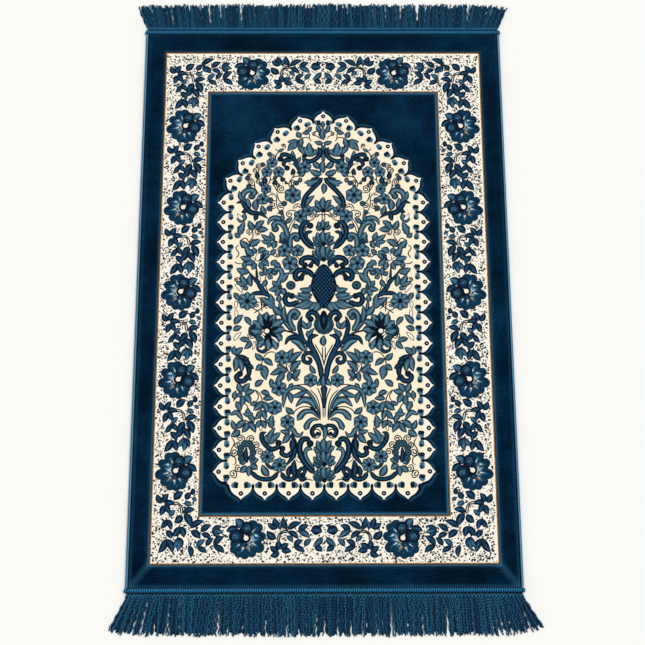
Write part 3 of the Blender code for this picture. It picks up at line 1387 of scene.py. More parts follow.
@dataclass
class FlatGrounds:
    """The cream grounds of the border and of the niche, and the dark rim round the niche's edge."""

    outline: NicheOutline
    border_outer: tuple[float, float] = (310.6, 501.6)
    border_inner: tuple[float, float] = (221.4, 412.4)
    border_top: float = 5.5
    ink_top: float = 5.5
    niche_top: float = 5.6
    bottom: float = 5.3
    chord: float = 0.95

    def build(self) -> list[bpy.types.Object]:
        """Make the three grounds."""
        return [self._border(), self._rim(), self._niche()]

    def _border(self) -> bpy.types.Object:
        """Make the border's ground as a closed frame.

        Returns:
            The border's ground.
        """
        draft = MeshDraft()
        outer, inner = (rectangle(*size) for size in (self.border_outer, self.border_inner))
        rings = [draft.ring(outer, height, 1.0) for height in (self.bottom, self.border_top)]
        rings += [draft.ring(inner, height, 1.0) for height in (self.border_top, self.bottom)]
        draft.bands(rings, closed=True)
        return draft.piece("border_ground", (SPECKLED_CREAM.build(),), "pile")

    def _rim(self) -> bpy.types.Object:
        """Make the ink plate that shows as a dark line round the cream scallops.

        Returns:
            The plate.
        """
        draft = MeshDraft()
        line = self.outline.line(5.4, 2.4)
        low = draft.ring(line, self.bottom)
        high = draft.ring(line, self.ink_top)
        draft.band(low, high)
        draft.fill((low,))
        draft.fill((high,))
        return draft.piece("niche_ink_rim", (INK.build(),), "pile")

    def _niche(self) -> bpy.types.Object:
        """Make the niche's cream ground, whiter out in the scallops.

        Returns:
            The niche's ground.
        """
        draft = MeshDraft()
        edge = self.outline.line(0.0, 0.0, self.chord)
        inside = self.outline.line(-1.0, -15.0, self.chord)
        core = self.outline.line(-12.0, -26.0, self.chord)
        low = draft.ring(edge, self.bottom)
        high = draft.ring(edge, self.niche_top, 1.0)
        near = draft.ring(inside, self.niche_top, 0.75)
        far = draft.ring(core, self.niche_top, 0.35)
        draft.bands((low, high, near, far))
        draft.fill((far,))
        draft.fill((low,))
        return draft.piece("niche_ground", (CREAM.build(),), "pile")


@dataclass
class GoldLines:
    """The two gold lines: a gold thread with brown stitches through its cream side."""

    seed: int = 5
    outer: tuple[float, float] = (308.4, 499.4)
    inner: tuple[float, float] = (223.7, 414.7)
    width: float = 3.7
    stitch: float = 3.4
    bottom: float = 5.3
    top: float = 5.74
    bead_bottom: float = 5.45
    stitch_top: float = 5.86
    dot_top: float = 5.72

    def build(self) -> list[bpy.types.Object]:
        """Make the gold threads, the brown threads beside them and the brown stitches.

        Returns:
            The brown piece and the gold one.
        """
        rng = random.Random(self.seed)
        brown = MeshDraft()
        gold = MeshDraft()
        for size, cream_side in ((self.outer, -1), (self.inner, 1)):
            self._thread(brown, size, cream_side, (-0.5, -0.14))
            self._thread(gold, size, cream_side, (-0.14, 0.42))
            corners = rectangle(*size)
            for index, corner in enumerate(corners):
                self._stitches(brown, corners[index - 1], corner, cream_side, rng)
        return [
            brown.piece("brown_line_stitches", (GOLD_SHADE.build(),), "pile"),
            gold.piece("gold_line_threads", (GOLD.build(),), "pile"),
        ]

    def _thread(
        self, draft: MeshDraft, size: tuple[float, float], cream_side: int, shares: tuple[float, float]
    ) -> None:
        """Lay a flat thread right round, between two shares of the width towards the cream side.

        Args:
            draft: the mesh to add to.
            size: half the width and half the length of the line's middle.
            cream_side: 1 where the cream lies outside the line, and -1 where it lies inside.
            shares: its two edges, as shares of the line's width.
        """
        near, far = (cream_side * self.width * share for share in shares)
        fallen = self.top - 0.04
        rings = []
        for out, height in ((near, self.bottom), (near, self.top), (far, fallen), (far, self.bottom)):
            rings.append(draft.ring(rectangle(size[0] + out, size[1] + out), height, 0.8))
        draft.bands(rings, closed=True)

    def _stitches(
        self, brown: MeshDraft, start: Vector, end: Vector, cream_side: int, rng: random.Random
    ) -> None:
        """Lay one side's row of brown stitches, and now and then a dot out on the cream.

        Args:
            brown: the mesh to add to.
            start: the row's first corner.
            end: its last corner.
            cream_side: 1 where the cream lies outside the line, and -1 where it lies inside.
            rng: the source of its unevenness.
        """
        run = end - start
        count = round(run.length / self.stitch)
        step = run / count
        along = step.normalized()
        side = vec(-along.y, along.x) * cream_side
        for index in range(count):
            middle = start + step * (index + 0.5) + side * self.width * rng.uniform(0.0, 0.26)
            half = along * self.stitch * rng.uniform(0.22, 0.4) + side * rng.uniform(-0.4, 0.4)
            wide = side * self.width * rng.uniform(0.2, 0.38)
            self._bead(brown, middle, half, wide, self.stitch_top, rng.uniform(0.0, 1.0))
            if rng.random() < 0.4:
                spot = middle + side * rng.uniform(1.0, 1.8) + along * rng.uniform(-1.4, 1.4)
                size = rng.uniform(0.4, 0.8)
                tone = rng.uniform(0.0, 0.4)
                self._bead(brown, spot, along * size, side * size, self.dot_top, tone)

    def _bead(
        self, draft: MeshDraft, middle: Vector, half: Vector, wide: Vector, top: float, tone: float
    ) -> None:
        """Add one small domed stitch.

        Args:
            draft: the mesh to add to.
            middle: its middle.
            half: the way from its middle to its tip.
            wide: the way from its middle to its side.
            top: the height of its top.
            tone: its tone.
        """
        rim = [middle - half, middle + wide, middle + half, middle - wide]
        low = draft.ring(rim, self.bead_bottom, tone)
        crown = draft.ring([middle.lerp(point, 0.55) for point in rim], top, tone)
        draft.tube((low, crown))


# The border's pattern


DARK = Yarn.DARK
BLUE = Yarn.BLUE
PALE = Yarn.PALE
# Leaves of the border as foot x, foot y, tip x, tip y, width and yarn.
SPRAY = (
    (-1, -54, 15, -39, 11, DARK), (20, -54, 29, -40, 9, DARK), (30, -50, 39, -57, 6, BLUE),
    (16, -60, 31, -64, 8, BLUE), (15, -76, 37, -71, 9, DARK), (-9, -84, 2, -72, 8, BLUE),
    (13, -80, 0, -95, 11, DARK), (17, -78, 30, -102, 11, DARK), (-11, -84, -22, -101, 8, DARK),
    (-11, -84, 0, -98, 8, DARK), (-12, -99, 1, -116, 9, DARK), (9, -92, -4, -109, 10, DARK),
    (10, -92, 24, -113, 10, DARK), (12, -110, 2, -127, 8, BLUE), (12, -110, 24, -128, 8, DARK),
    (13, -112, 13, -135, 9, BLUE), (-10, -114, -22, -136, 10, DARK), (-9, -114, 1, -135, 10, DARK),
)
CORNER_SPRAY = (
    (-281, -420, -272, -440, 8, DARK), (-281, -420, -291, -437, 8, DARK),
    (-281, -440, -271, -455, 9, DARK), (-258, -433, -270, -451, 10, DARK),
    (-257, -433, -249, -453, 10, DARK), (-281, -455, -294, -480, 10, DARK),
    (-280, -455, -268, -480, 10, DARK), (-260, -452, -268, -472, 8, BLUE),
    (-260, -452, -252, -471, 8, DARK), (-260, -454, -260, -478, 8, BLUE),
    (-240, -466, -236, -489, 8, DARK),
)
END_TRAIL = (
    (-242, -436, -217, -423, 9, DARK), (-241, -441, -223, -455, 10, DARK),
    (-223, -443, -204, -430, 9, DARK), (-222, -446, -204, -455, 8, DARK),
    (-203, -443, -185, -432, 8, DARK), (-203, -443, -182, -445, 8, BLUE),
    (-203, -443, -190, -453, 8, DARK), (-230, -470, -214, -456, 8, BLUE),
    (-229, -471, -211, -480, 8, DARK), (-213, -468, -200, -453, 8, DARK),
    (-200, -467, -181, -450, 9, DARK), (-200, -468, -180, -480, 9, DARK),
    (-89, -455, -106, -441, 11, DARK), (-86, -436, -105, -427, 9, DARK), (-85, -434, -93, -417, 9, DARK),
    (-82, -440, -79, -422, 6, BLUE), (-70, -439, -77, -416, 9, DARK), (-69, -439, -44, -426, 9, DARK),
    (-69, -442, -49, -456, 8, DARK), (-50, -442, -31, -431, 9, DARK), (-50, -442, -29, -454, 9, BLUE),
    (-71, -450, -59, -462, 7, BLUE), (-58, -469, -41, -457, 8, DARK), (-58, -470, -38, -479, 8, DARK),
    (-39, -469, -26, -455, 8, BLUE), (-28, -441, -7, -443, 14, DARK), (-7, -452, -24, -467, 9, BLUE),
    (-22, -469, -7, -478, 9, DARK), (-16, -436, -5, -431, 5, DARK),
)


# The outline of the border flower's lit petals, whose shade runs out from one pale place.
LIT = (
    (-1, 14), (-4, 22), (-11, 28), (-16, 22), (-14, 16), (-21, 17), (-28, 11), (-25, 4), (-20, 1),
    (-28, -3), (-33, -9), (-27, -15), (-20, -13), (-24, -21), (-19, -28), (-12, -26), (-10, -22),
    (-8, -31), (0, -34), (5, -28), (3, -22), (10, -27), (14, -21), (10, -12), (2, -8), (0, 2),
)
# Their dark folds, as width and points.
FOLDS = (
    (2.4, (-7, 12), (-13, 16), (-18, 23)), (3.0, (-17, 0), (-23, 1), (-32, 1)),
    (2.6, (-13, -11), (-20, -14), (-26, -17)), (2.6, (-6, -18), (-7, -25), (-8, -33)),
    (2.4, (5, -17), (6, -24), (8, -32)),
)
# The pale wedges that fade out along those petals: brightest x, y, tip x, y and half width.
LIGHTS = (
    (-6, 14, -14, 30, 3.4), (-13, 10, -28, 9, 5.6), (-14, -5, -33, -9, 4.4),
    (-9, -14, -21, -26, 5.2), (-2, -18, 0, -35, 5.0), (7, -16, 14, -29, 3.2),
)
# The ink arcs of the flower's curled petals, as width and points.
ARCS = (
    (1.7, (-4, 14), (3, 25), (12, 25), (15, 15)), (1.5, (1, 13), (6, 19), (11, 14)),
    (1.7, (-9, 5), (-2, 12), (10, 11), (18, 4)), (1.8, (9, -12), (18, -16), (26, -9), (23, 0), (15, -2)),
    (1.5, (13, -9), (19, -10), (20, -5), (15, -4)), (1.5, (-11, -1), (-8, -9), (0, -12), (8, -10)),
    (1.4, (-24, -4), (-31, -4), (-33, -11)), (1.4, (-20, 14), (-27, 12), (-30, 4)),
)


@dataclass
class BorderGarden:
    """The floral border: a big flower and a spray that repeat down the sides and across the ends."""

    ground: float = 5.5
    repeat_x: float = -267.0
    flowers: tuple[float, ...] = (-332.0, -163.0, 6.0, 174.5, 343.5)
    spray_above: float = 514.0
    end_flower: tuple[float, float] = (-142.0, -453.0)
    end_middle: float = -3.5
    end_rise: float = 909.5
    leaf_share: float = 1.32
    stalk_width: float = 1.5
    stem_width: float = 2.3
    lobes: tuple[Circle, ...] = (
        (-13.0, 24.0, 8.5), (-2.0, 24.0, 10.0), (9.0, 17.0, 8.0), (-24.0, 12.0, 8.5), (-28.0, -8.0, 9.5),
        (-19.0, -21.0, 8.5), (-9.0, -29.0, 8.0), (2.0, -31.0, 7.5), (12.0, -27.0, 8.0),
        (15.0, -18.0, 8.0),
    )
    drawing: Drawing = field(init=False)

    def __post_init__(self) -> None:
        """Open the drawing."""
        self.drawing = Drawing(self.ground)

    def build(self) -> list[bpy.types.Object]:
        """Draw both sides and both ends, and make a piece of each yarn.

        Returns:
            The pieces, one a yarn.
        """
        for flip in (1, -1):
            for y in self.flowers:
                pen = Pen(flip * self.repeat_x, y, 0.0, 1.0, flip)
                self._flower(pen)
                self._spray(pen, y == self.flowers[0])
            self._spray(Pen(flip * self.repeat_x, self.spray_above, 0.0, 1.0, flip), False)
            for row in CORNER_SPRAY:
                self._leaf(Pen(flip=flip), Leaf(*row))
            for rise in (0.0, self.end_rise):
                self._end(flip, rise)
        finishes = {
            Yarn.INK: BORDER_INK,
            Yarn.BLUE: BORDER_BLUE,
            Yarn.DARK: BORDER_DARK,
            Yarn.PALE: BORDER_PALE,
            Yarn.WHITE: WHITE,
            Yarn.OCHRE: OCHRE,
        }
        return self.drawing.pieces("border", finishes)

    def _leaf(self, pen: Pen, item: Leaf) -> None:
        """Draw a border leaf on its stalk, dark at its edge and with a dark vein.

        Args:
            pen: where it is drawn.
            item: the leaf.
        """
        self.drawing.begin(0.1)
        across = item.to_x - item.x
        along = item.to_y - item.y
        middle = (item.x + 0.5 * across - 0.1 * along, item.y + 0.5 * along + 0.1 * across)
        foot = (item.x, item.y)
        route = (foot, middle, (item.to_x, item.to_y))
        self.drawing.stroke(pen, item.yarn, route, self.leaf_share * item.width, Taper.LEAF, False)
        stalk = (item.x - 0.2 * across, item.y - 0.2 * along)
        self.drawing.stroke(pen, Yarn.INK, (stalk, foot, middle), self.stalk_width, Taper.STEM, False)

    def _flower(self, pen: Pen) -> None:
        """Draw one big flower: lobes, wedges of light, curled petals and a white heart.

        Args:
            pen: where it is drawn.
        """
        drawing = self.drawing
        self._leaf(pen, Leaf(13, 11, 31, 24, 13, BLUE))
        self._leaf(pen, Leaf(18, 8, 38, -3, 11, DARK))
        drawing.begin(0.2)
        middle = pen.at(-4.0, -3.0)
        drawing.blot(DARK, middle, around(middle, 25.0, 16), 0.5)
        for x, y, radius in self.lobes:
            drawing.disc(pen, DARK, x, y, radius)
        drawing.blot(PALE, pen.at(-10.0, -4.0), [pen.at(x, y) for x, y in LIT], 0.8)
        for x, y, radius in self.lobes:
            inward = 1.0 - 0.6 * radius / hypot(x, y)
            inner = pen.at(x * inward, y * inward)
            drawing.blot(PALE, inner, around(pen.at(x, y), 0.86 * radius, 12), 0.42)
        for x, y, to_x, to_y, half in LIGHTS:
            self._wedge(pen, PALE, vec(x, y), vec(to_x, to_y), half)
        for width, *route in FOLDS:
            drawing.stroke(pen, DARK, route, width, Taper.LEAF, False)
        drawing.disc(pen, BLUE, -1, -12, 5.5)
        drawing.disc(pen, DARK, 1, -1, 9.5)
        drawing.disc(pen, BLUE, 19, -5, 12.0)
        drawing.disc(pen, BLUE, 5, 16, 11.0)
        for width, *route in ARCS:
            drawing.stroke(pen, Yarn.INK, route, width, Taper.STEM, False)
        drawing.disc(pen, Yarn.INK, 0, -1, 6.4)
        drawing.disc(pen, Yarn.WHITE, 0, -1, 4.4)
        drawing.stroke(pen, Yarn.WHITE, ((0, 0), (6, 4)), 4.0, Taper.BLADE, False)
        self._wedge(pen, Yarn.OCHRE, vec(-8, -15), vec(-15, -20), 2.0)

    def _wedge(self, pen: Pen, yarn: Yarn, bright: Vector, tip: Vector, half: float) -> None:
        """Draw a wedge of light that is brightest near its foot and fades to its tip.

        Args:
            pen: where it is drawn.
            yarn: the yarn it is woven in.
            bright: its brightest point.
            tip: its tip.
            half: half its width.
        """
        run = tip - bright
        side = vec(-run.y, run.x).normalized() * half
        rim = (tip, bright + run * 0.35 + side * 0.8, bright + side, bright - run * 0.25,
               bright - side, bright + run * 0.35 - side * 0.8)
        self.drawing.blot(
            yarn, pen.at(bright.x, bright.y), [pen.at(point.x, point.y) for point in rim], 0.9
        )

    def _spray(self, pen: Pen, short: bool) -> None:
        """Draw the spray below a flower, without its last leaves where it turns the corner.

        Args:
            pen: where it is drawn.
            short: whether the last leaves are left out.
        """
        for row in SPRAY[:8] if short else SPRAY:
            self._leaf(pen, Leaf(*row))
        self.drawing.disc(pen, DARK, 32, -39, 4.6, squash=1.3)
        for shift in (0.0, 3.6):
            route = ((-6, -59 - shift), (4, -58 - shift), (13 - shift, -66), (15 - shift, -79))
            self.drawing.stroke(pen, Yarn.INK, route, self.stem_width, Taper.STEM, False)
        self._dogwood(pen, -21.0, -61.0, (122.0, 63.0, 2.0, -56.0, -102.0), 21.5)

    def _dogwood(self, pen: Pen, x: float, y: float, angles: Sequence[float], reach: float) -> None:
        """Draw a flower of broad pointed petals round a white dot.

        Args:
            pen: where it is drawn.
            x: its middle across the motif.
            y: its middle along the motif.
            angles: its petals' angles in degrees.
            reach: how long they are.
        """
        for angle in angles:
            run = vec(cos(radians(angle)), sin(radians(angle)))
            foot = vec(x, y) + 1.6 * run
            tip = vec(x, y) + reach * run
            self._leaf(pen, Leaf(foot.x, foot.y, tip.x, tip.y, 9.0, DARK))
        self.drawing.disc(pen, Yarn.WHITE, x, y, 3.0)

    def _end(self, flip: int, rise: float) -> None:
        """Draw one half of an end band.

        Args:
            flip: 1 for the left half and -1 for the right one.
            rise: how far up from the near end band it lies.
        """
        pen = Pen(-flip * self.end_middle, rise, 0.0, 1.0, flip)
        for row in END_TRAIL:
            self._leaf(pen, Leaf(*row))
        x, y = self.end_flower
        self._flower(Pen(flip * (x - self.end_middle), y + rise, radians(22.0), 1.0, -flip))
        for shift in (0.0, 3.4):
            route = ((-87 + shift, -459), (-85 + shift, -448), (-76, -441 - shift), (-67, -440 - shift))
            self.drawing.stroke(pen, Yarn.INK, route, self.stem_width, Taper.STEM, False)
        self._dogwood(pen, -82.0, -476.5, (96.0, 40.0, -5.0, 207.0, 155.0), 20.5)


@dataclass
class BorderFlecks:
    """The speckle between the border's motifs: small uneven flecks that keep clear of them."""

    seed: int = 17
    spacing: float = 3.5
    keep: float = 0.8
    clear: float = 1.2
    cell: float = 12.0
    outer: tuple[float, float] = (305.4, 496.6)
    inner: tuple[float, float] = (226.6, 417.4)
    ground: float = 5.5

    def build(self, covers: Sequence[Circle]) -> list[bpy.types.Object]:
        """Scatter the flecks.

        Args:
            covers: circles that the motifs cover, as their middles and radii.

        Returns:
            The dark and the pale flecks.
        """
        rng = random.Random(self.seed)
        taken = self._by_cell(covers)
        drawing = Drawing(self.ground)
        columns = int(2 * self.outer[0] / self.spacing)
        rows = int(2 * self.outer[1] / self.spacing)
        for row in range(rows):
            for column in range(columns):
                x = -self.outer[0] + (column + rng.random()) * self.spacing
                y = -self.outer[1] + (row + rng.random()) * self.spacing
                # slow waves that thicken and thin the speckle
                patch = sin(0.34 * x + 1.7 * sin(0.11 * y)) * sin(0.31 * y + 1.3 * sin(0.13 * x))
                kept = rng.random() < self.keep + 0.45 * patch
                if abs(x) < self.inner[0] and abs(y) < self.inner[1]:
                    continue
                if kept and not self._near(taken, x, y):
                    self._fleck(drawing, x, y, rng)
        return [
            drawing.drafts[Yarn.INK].piece("dark_border_flecks", (FLECK_DARK.build(),), "pile"),
            drawing.drafts[Yarn.GROUND].piece("pale_border_flecks", (FLECK_PALE.build(),), "pile"),
        ]

    def _by_cell(self, covers: Sequence[Circle]) -> dict[tuple[int, int], list[Circle]]:
        """Sort the covered circles into square cells.

        Args:
            covers: circles that the motifs cover.

        Returns:
            The circles that reach into each cell, by its column and row.
        """
        cells: dict[tuple[int, int], list[Circle]] = {}
        for x, y, radius in covers:
            reach = radius + self.clear
            for column in range(int((x - reach) // self.cell), int((x + reach) // self.cell) + 1):
                for row in range(int((y - reach) // self.cell), int((y + reach) // self.cell) + 1):
                    cells.setdefault((column, row), []).append((x, y, reach))
        return cells

    def _near(self, cells: dict[tuple[int, int], list[Circle]], x: float, y: float) -> bool:
        """Return whether a point is on or close to a motif."""
        key = (int(x // self.cell), int(y // self.cell))
        return any(hypot(x - cx, y - cy) < reach for cx, cy, reach in cells.get(key, ()))

    def _fleck(self, drawing: Drawing, x: float, y: float, rng: random.Random) -> None:
        """Lay one uneven five-cornered fleck.

        Args:
            drawing: the drawing to add to.
            x: its middle's x.
            y: its middle's y.
            rng: the source of its unevenness.
        """
        dark = rng.random() < 0.6
        size = rng.uniform(0.8, 2.4) if dark else rng.uniform(0.8, 2.0)
        stretch = rng.uniform(0.75, 1.5)
        turn = rng.uniform(0.0, pi)
        middle = vec(x, y)
        rim = []
        for k in range(5):
            angle = TURN * k / 5
            reach = size * rng.uniform(0.7, 1.25)
            spot = vec(reach * cos(angle) * stretch, reach * sin(angle))
            rim.append(middle + Matrix.Rotation(turn, 2) @ spot)
        drawing.begin(0.02)
        drawing.blot(Yarn.INK if dark else Yarn.GROUND, middle, rim, rng.random())


# The niche's pattern: one half is set out, as read from the left, and mirrored


# Leaves and pointed petals as foot x, foot y, tip x, tip y and width, from back to front.
LEAVES = (
    # the point of the arch
    (-8, 328, -13, 346, 8), (-31, 329, -25, 340, 7), (-29, 331, -43, 327, 8),
    (-45, 318, -53, 330, 10), (-46, 299, -43, 317, 10), (-51, 312, -71, 309, 9),
    (-57, 311, -60, 293, 10), (-61, 309, -71, 290, 10), (-51, 300, -39, 282, 10),
    (-57, 270, -62, 290, 8), (-52, 262, -46, 277, 7), (-8, 254, -22, 269, 11),
    (-27, 278, -39, 298, 11), (-20, 280, -15, 293, 9), (-23, 278, -30, 307, 16),
    (-88, 287, -79, 294, 5), (-49, 237, -37, 244, 10), (-49, 234, -46, 224, 7),
    (-6, 241, -28, 250, 13), (-20, 228, -33, 217, 9), (-4, 232, -39, 224, 14),
    (-19, 212, -29, 212, 5), (-3, 306, -19, 309, 8),
    # the shoulders
    (-156, 186, -163, 206, 8), (-142, 172, -147, 192, 9), (-130, 167, -131, 190, 12),
    (-112, 159, -120, 177, 10), (-37, 176, -20, 197, 9), (-153, 145, -151, 161, 9),
    (-152, 146, -167, 150, 8), (-160, 113, -170, 121, 9), (-161, 117, -152, 142, 14),
    (-134, 128, -144, 146, 11), (-127, 126, -108, 128, 11), (-131, 129, -115, 146, 13),
    (-143, 92, -160, 106, 14), (-141, 94, -122, 107, 14), (-98, 106, -120, 118, 9),
    (-95, 107, -103, 123, 9), (-96, 105, -98, 90, 11), (-102, 104, -120, 105, 8),
    (-104, 104, -108, 92, 8), (-80, 145, -79, 160, 7), (-73, 140, -62, 152, 8),
    (-61, 137, -49, 130, 9), (-68, 97, -82, 123, 19),
    # round the lotus
    (-132, 63, -137, 48, 10), (-123, 63, -118, 47, 10), (-134, 76, -150, 93, 14),
    (-125, 82, -112, 90, 13), (-129, 80, -135, 92, 9), (-137, 70, -159, 73, 13),
    (-133, 66, -150, 60, 11), (-120, 66, -106, 55, 12), (-117, 76, -105, 84, 12),
    (-117, 70, -103, 78, 10), (-101, 77, -92, 88, 9), (-83, 54, -98, 65, 10),
    (-101, 56, -91, 67, 8), (-51, 58, -68, 40, 13), (-82, 22, -68, 42, 12),
    (-142, 44, -166, 50, 14), (-148, 52, -153, 64, 9), (-148, 46, -160, 40, 9),
    (-138, 15, -141, 38, 10), (-146, 18, -158, 38, 11), (-146, 18, -166, 24, 10),
    (-144, 14, -154, 10, 8), (-110, 36, -112, 53, 9), (-108, 38, -99, 51, 9),
    (-114, 37, -123, 44, 8), (-108, 34, -98, 31, 9), (-110, 28, -118, 14, 9),
    (-88, 16, -98, 26, 9), (-86, 14, -105, 8, 10), (-86, 11, -93, -3, 11),
    (-82, 11, -75, -3, 11),
    # beside and under the pomegranate
    (-27, 18, -30, 3, 8), (-25, 8, -47, 10, 10), (-24, -2, -51, 1, 11),
    (-26, -7, -59, -4, 9), (-28, -12, -60, -25, 12), (-24, -15, -46, -28, 13),
    (-18, -16, -30, -31, 14), (-12, -14, -21, -35, 16), (-32, -68, -43, -52, 9),
    (-31, -68, -26, -53, 8), (-31, -86, -21, -67, 7), (-33, -72, -30, -87, 10),
    (-170, 2, -162, -13, 9), (-96, -20, -102, 0, 11), (-93, -20, -120, -7, 15),
    (-92, -25, -108, -20, 8), (-80, -41, -97, -22, 12), (-85, -16, -85, -2, 10),
    (-73, -55, -76, -23, 9),
    # the big open flower
    (-112, -66, -134, -52, 19), (-110, -64, -122, -38, 19), (-108, -62, -108, -35, 19),
    (-102, -64, -92, -40, 19), (-98, -66, -77, -52, 19), (-98, -72, -74, -70, 19),
    (-98, -78, -80, -90, 19), (-102, -82, -90, -108, 19), (-108, -82, -106, -110, 19),
    (-114, -80, -126, -104, 18), (-116, -74, -138, -70, 17),
    (-168, -59, -153, -41, 11), (-150, -45, -138, -61, 9), (-170, -71, -155, -64, 10),
    (-158, -87, -138, -93, 9), (-137, -92, -149, -106, 9), (-166, -118, -168, -101, 9),
    (-165, -118, -152, -104, 10),
    # the middle of the tree
    (-160, -125, -153, -150, 11), (-165, -122, -166, -149, 12), (-115, -127, -129, -115, 10),
    (-114, -126, -97, -138, 10), (-117, -135, -128, -147, 10), (-117, -138, -106, -157, 10),
    (-118, -145, -109, -165, 11), (-69, -130, -59, -106, 10), (-66, -133, -43, -112, 11),
    (-63, -150, -45, -129, 13), (-58, -162, -46, -146, 11), (-66, -150, -68, -168, 9),
    (-57, -164, -49, -165, 6), (-80, -142, -101, -155, 10), (-76, -150, -92, -170, 11),
    (-70, -150, -88, -136, 12), (-18, -153, -28, -137, 8), (-3, -158, -15, -176, 10),
    (-100, -163, -100, -180, 8), (-128, -178, -114, -166, 10), (-60, -172, -68, -180, 7),
    # the bough of the lower side
    (-151, -188, -160, -171, 11), (-148, -188, -139, -172, 11), (-152, -195, -153, -214, 10),
    (-148, -194, -137, -209, 11), (-147, -191, -130, -187, 11), (-152, -190, -162, -196, 9),
    (-165, -202, -164, -186, 9), (-163, -206, -155, -224, 11), (-118, -188, -102, -193, 9),
    (-114, -201, -95, -201, 9), (-114, -206, -106, -226, 11), (-115, -205, -131, -222, 13),
    (-125, -206, -137, -212, 8), (-140, -230, -141, -218, 8), (-132, -228, -150, -229, 9),
    (-141, -230, -130, -245, 9), (-117, -222, -128, -239, 9), (-117, -222, -109, -240, 9),
    (-119, -241, -127, -254, 9), (-117, -241, -109, -256, 9), (-161, -258, -170, -241, 9),
    (-161, -256, -144, -241, 11), (-156, -259, -171, -270, 12), (-141, -245, -151, -263, 10),
    (-140, -245, -127, -263, 10), (-97, -256, -97, -231, 13), (-95, -243, -109, -241, 8),
    (-58, -228, -72, -217, 10), (-34, -185, -62, -197, 9), (-68, -188, -62, -209, 9),
    # the foot
    (-104, -286, -108, -268, 9), (-105, -284, -92, -255, 9), (-101, -285, -82, -264, 13),
    (-64, -262, -82, -260, 8), (-66, -265, -78, -283, 11), (-102, -343, -114, -323, 12),
    (-143, -318, -156, -313, 11), (-136, -319, -121, -313, 11), (-143, -324, -153, -336, 11),
    (-136, -323, -123, -331, 11), (-139, -325, -139, -343, 11),
)
DARK_LEAVES = (
    (-127, 231, -129, 246, 8), (-112, 221, -115, 237, 9), (-92, 219, -96, 231, 8),
    (-76, 227, -84, 235, 8), (-58, 242, -61, 253, 7), (-50, 241, -46, 248, 6), (-64, 240, -57, 248, 6),
    (-148, 169, -158, 163, 7), (-131, 161, -133, 146, 8), (-70, 99, -78, 111, 7), (-125, 65, -112, 79, 7),
    (-150, -128, -141, -124, 6), (-145, -137, -132, -144, 7), (-145, -160, -136, -166, 6),
    (-60, -275, -62, -298, 11), (-55, -345, -56, -314, 11), (-66, -345, -65, -325, 7),
    (-141, -318, -143, -291, 7), (-12, 235, -26, 232, 4),
)
AXIS_LEAVES = (
    (0, 338, 0, 352, 8), (0, 313, 0, 338, 13), (0, 244, 0, 270, 13), (0, 222, 0, 201, 10),
    (0, -101, 0, -81, 11), (0, -180, 0, -156, 9), (0, -250, 0, -277, 8),
)
TONGUES = (
    (-155, 147, -165, 160, 6), (-127, 65, -122, 81, 8), (-131, 67, -140, 73, 4), (-168, 19, -155, 3, 6),
    (-167, -14, -167, -28, 5), (-166, -31, -166, -46, 5), (-168, -90, -156, -75, 6),
    (-131, -92, -134, -107, 4), (-118, -250, -118, -260, 4), (-45, -318, -54, -306, 4),
    (-36, 334, -32, 338, 3), (-60, 268, -68, 263, 6), (-52, 176, -46, 178, 4), (-126, 34, -121, 24, 3),
    (-104, -80, -86, -96, 4), (-120, -78, -112, -88, 3),
)
# Round flowers as middle x, middle y, radius and number of lobes.
BLOOMS = (
    (-38, 256, 12, 5), (-101, 265, 10.5, 5), (-111, 246, 10.5, 5), (-88, 246, 11, 5), (-112, 211, 10, 6),
    (-118, 190, 11.5, 5), (-61, 198, 16, 6), (-31, 166, 10.5, 6), (-46, 155, 13, 6), (-76, 86, 13, 5),
    (-51, 86, 11.5, 5), (-66, 61, 14, 5), (-145, -14, 17, 8), (-80, -123, 13.5, 6), (-27, -166, 12.5, 6),
    (-92, -217, 13, 6), (-85, -181, 14, 6), (-69, -244, 13, 6), (-105, -308, 12.5, 8), (-83, -323, 13, 8),
)
# Palmettes on the axis as foot y, reach, number of petals and spread in degrees.
AXIS_FANS = (
    (167, 27, 5, 140), (128, 20, 5, 130), (99, 27, 7, 165), (68, 30, 7, 150),
    (-301, 27, 5, 120), (-322, 26, 7, 165), (-351, 27, 7, 140),
)
# Buds and balls as x, y and radius.
BUDS = (
    (-106, 283, 3.8), (-119, 261, 4.0), (-148, 233, 4.0), (-145, 216, 4.5), (-121, 221, 4.2),
    (-95, 234, 3.2), (-104, 188, 5.0), (-77, 181, 4.5), (-105, 171, 5.0), (-83, 163, 4.0),
    (-74, 223, 2.0), (-54, 223, 4.2), (-62, 216, 3.0), (-64, 17, 8.0), (-84, 14, 3.0), (-146, -284, 6.0),
    (-138, -284, 6.0), (-153, -292, 5.5), (-154, -301, 5.5), (-152, -311, 5.5), (-133, -291, 5.5),
    (-131, -300, 5.5), (-133, -310, 5.5), (-122, -84, 7.0),
)
STEM = Taper.STEM
BLADE = Taper.BLADE
HORN = Taper.HORN
TAPERED = Taper.LEAF
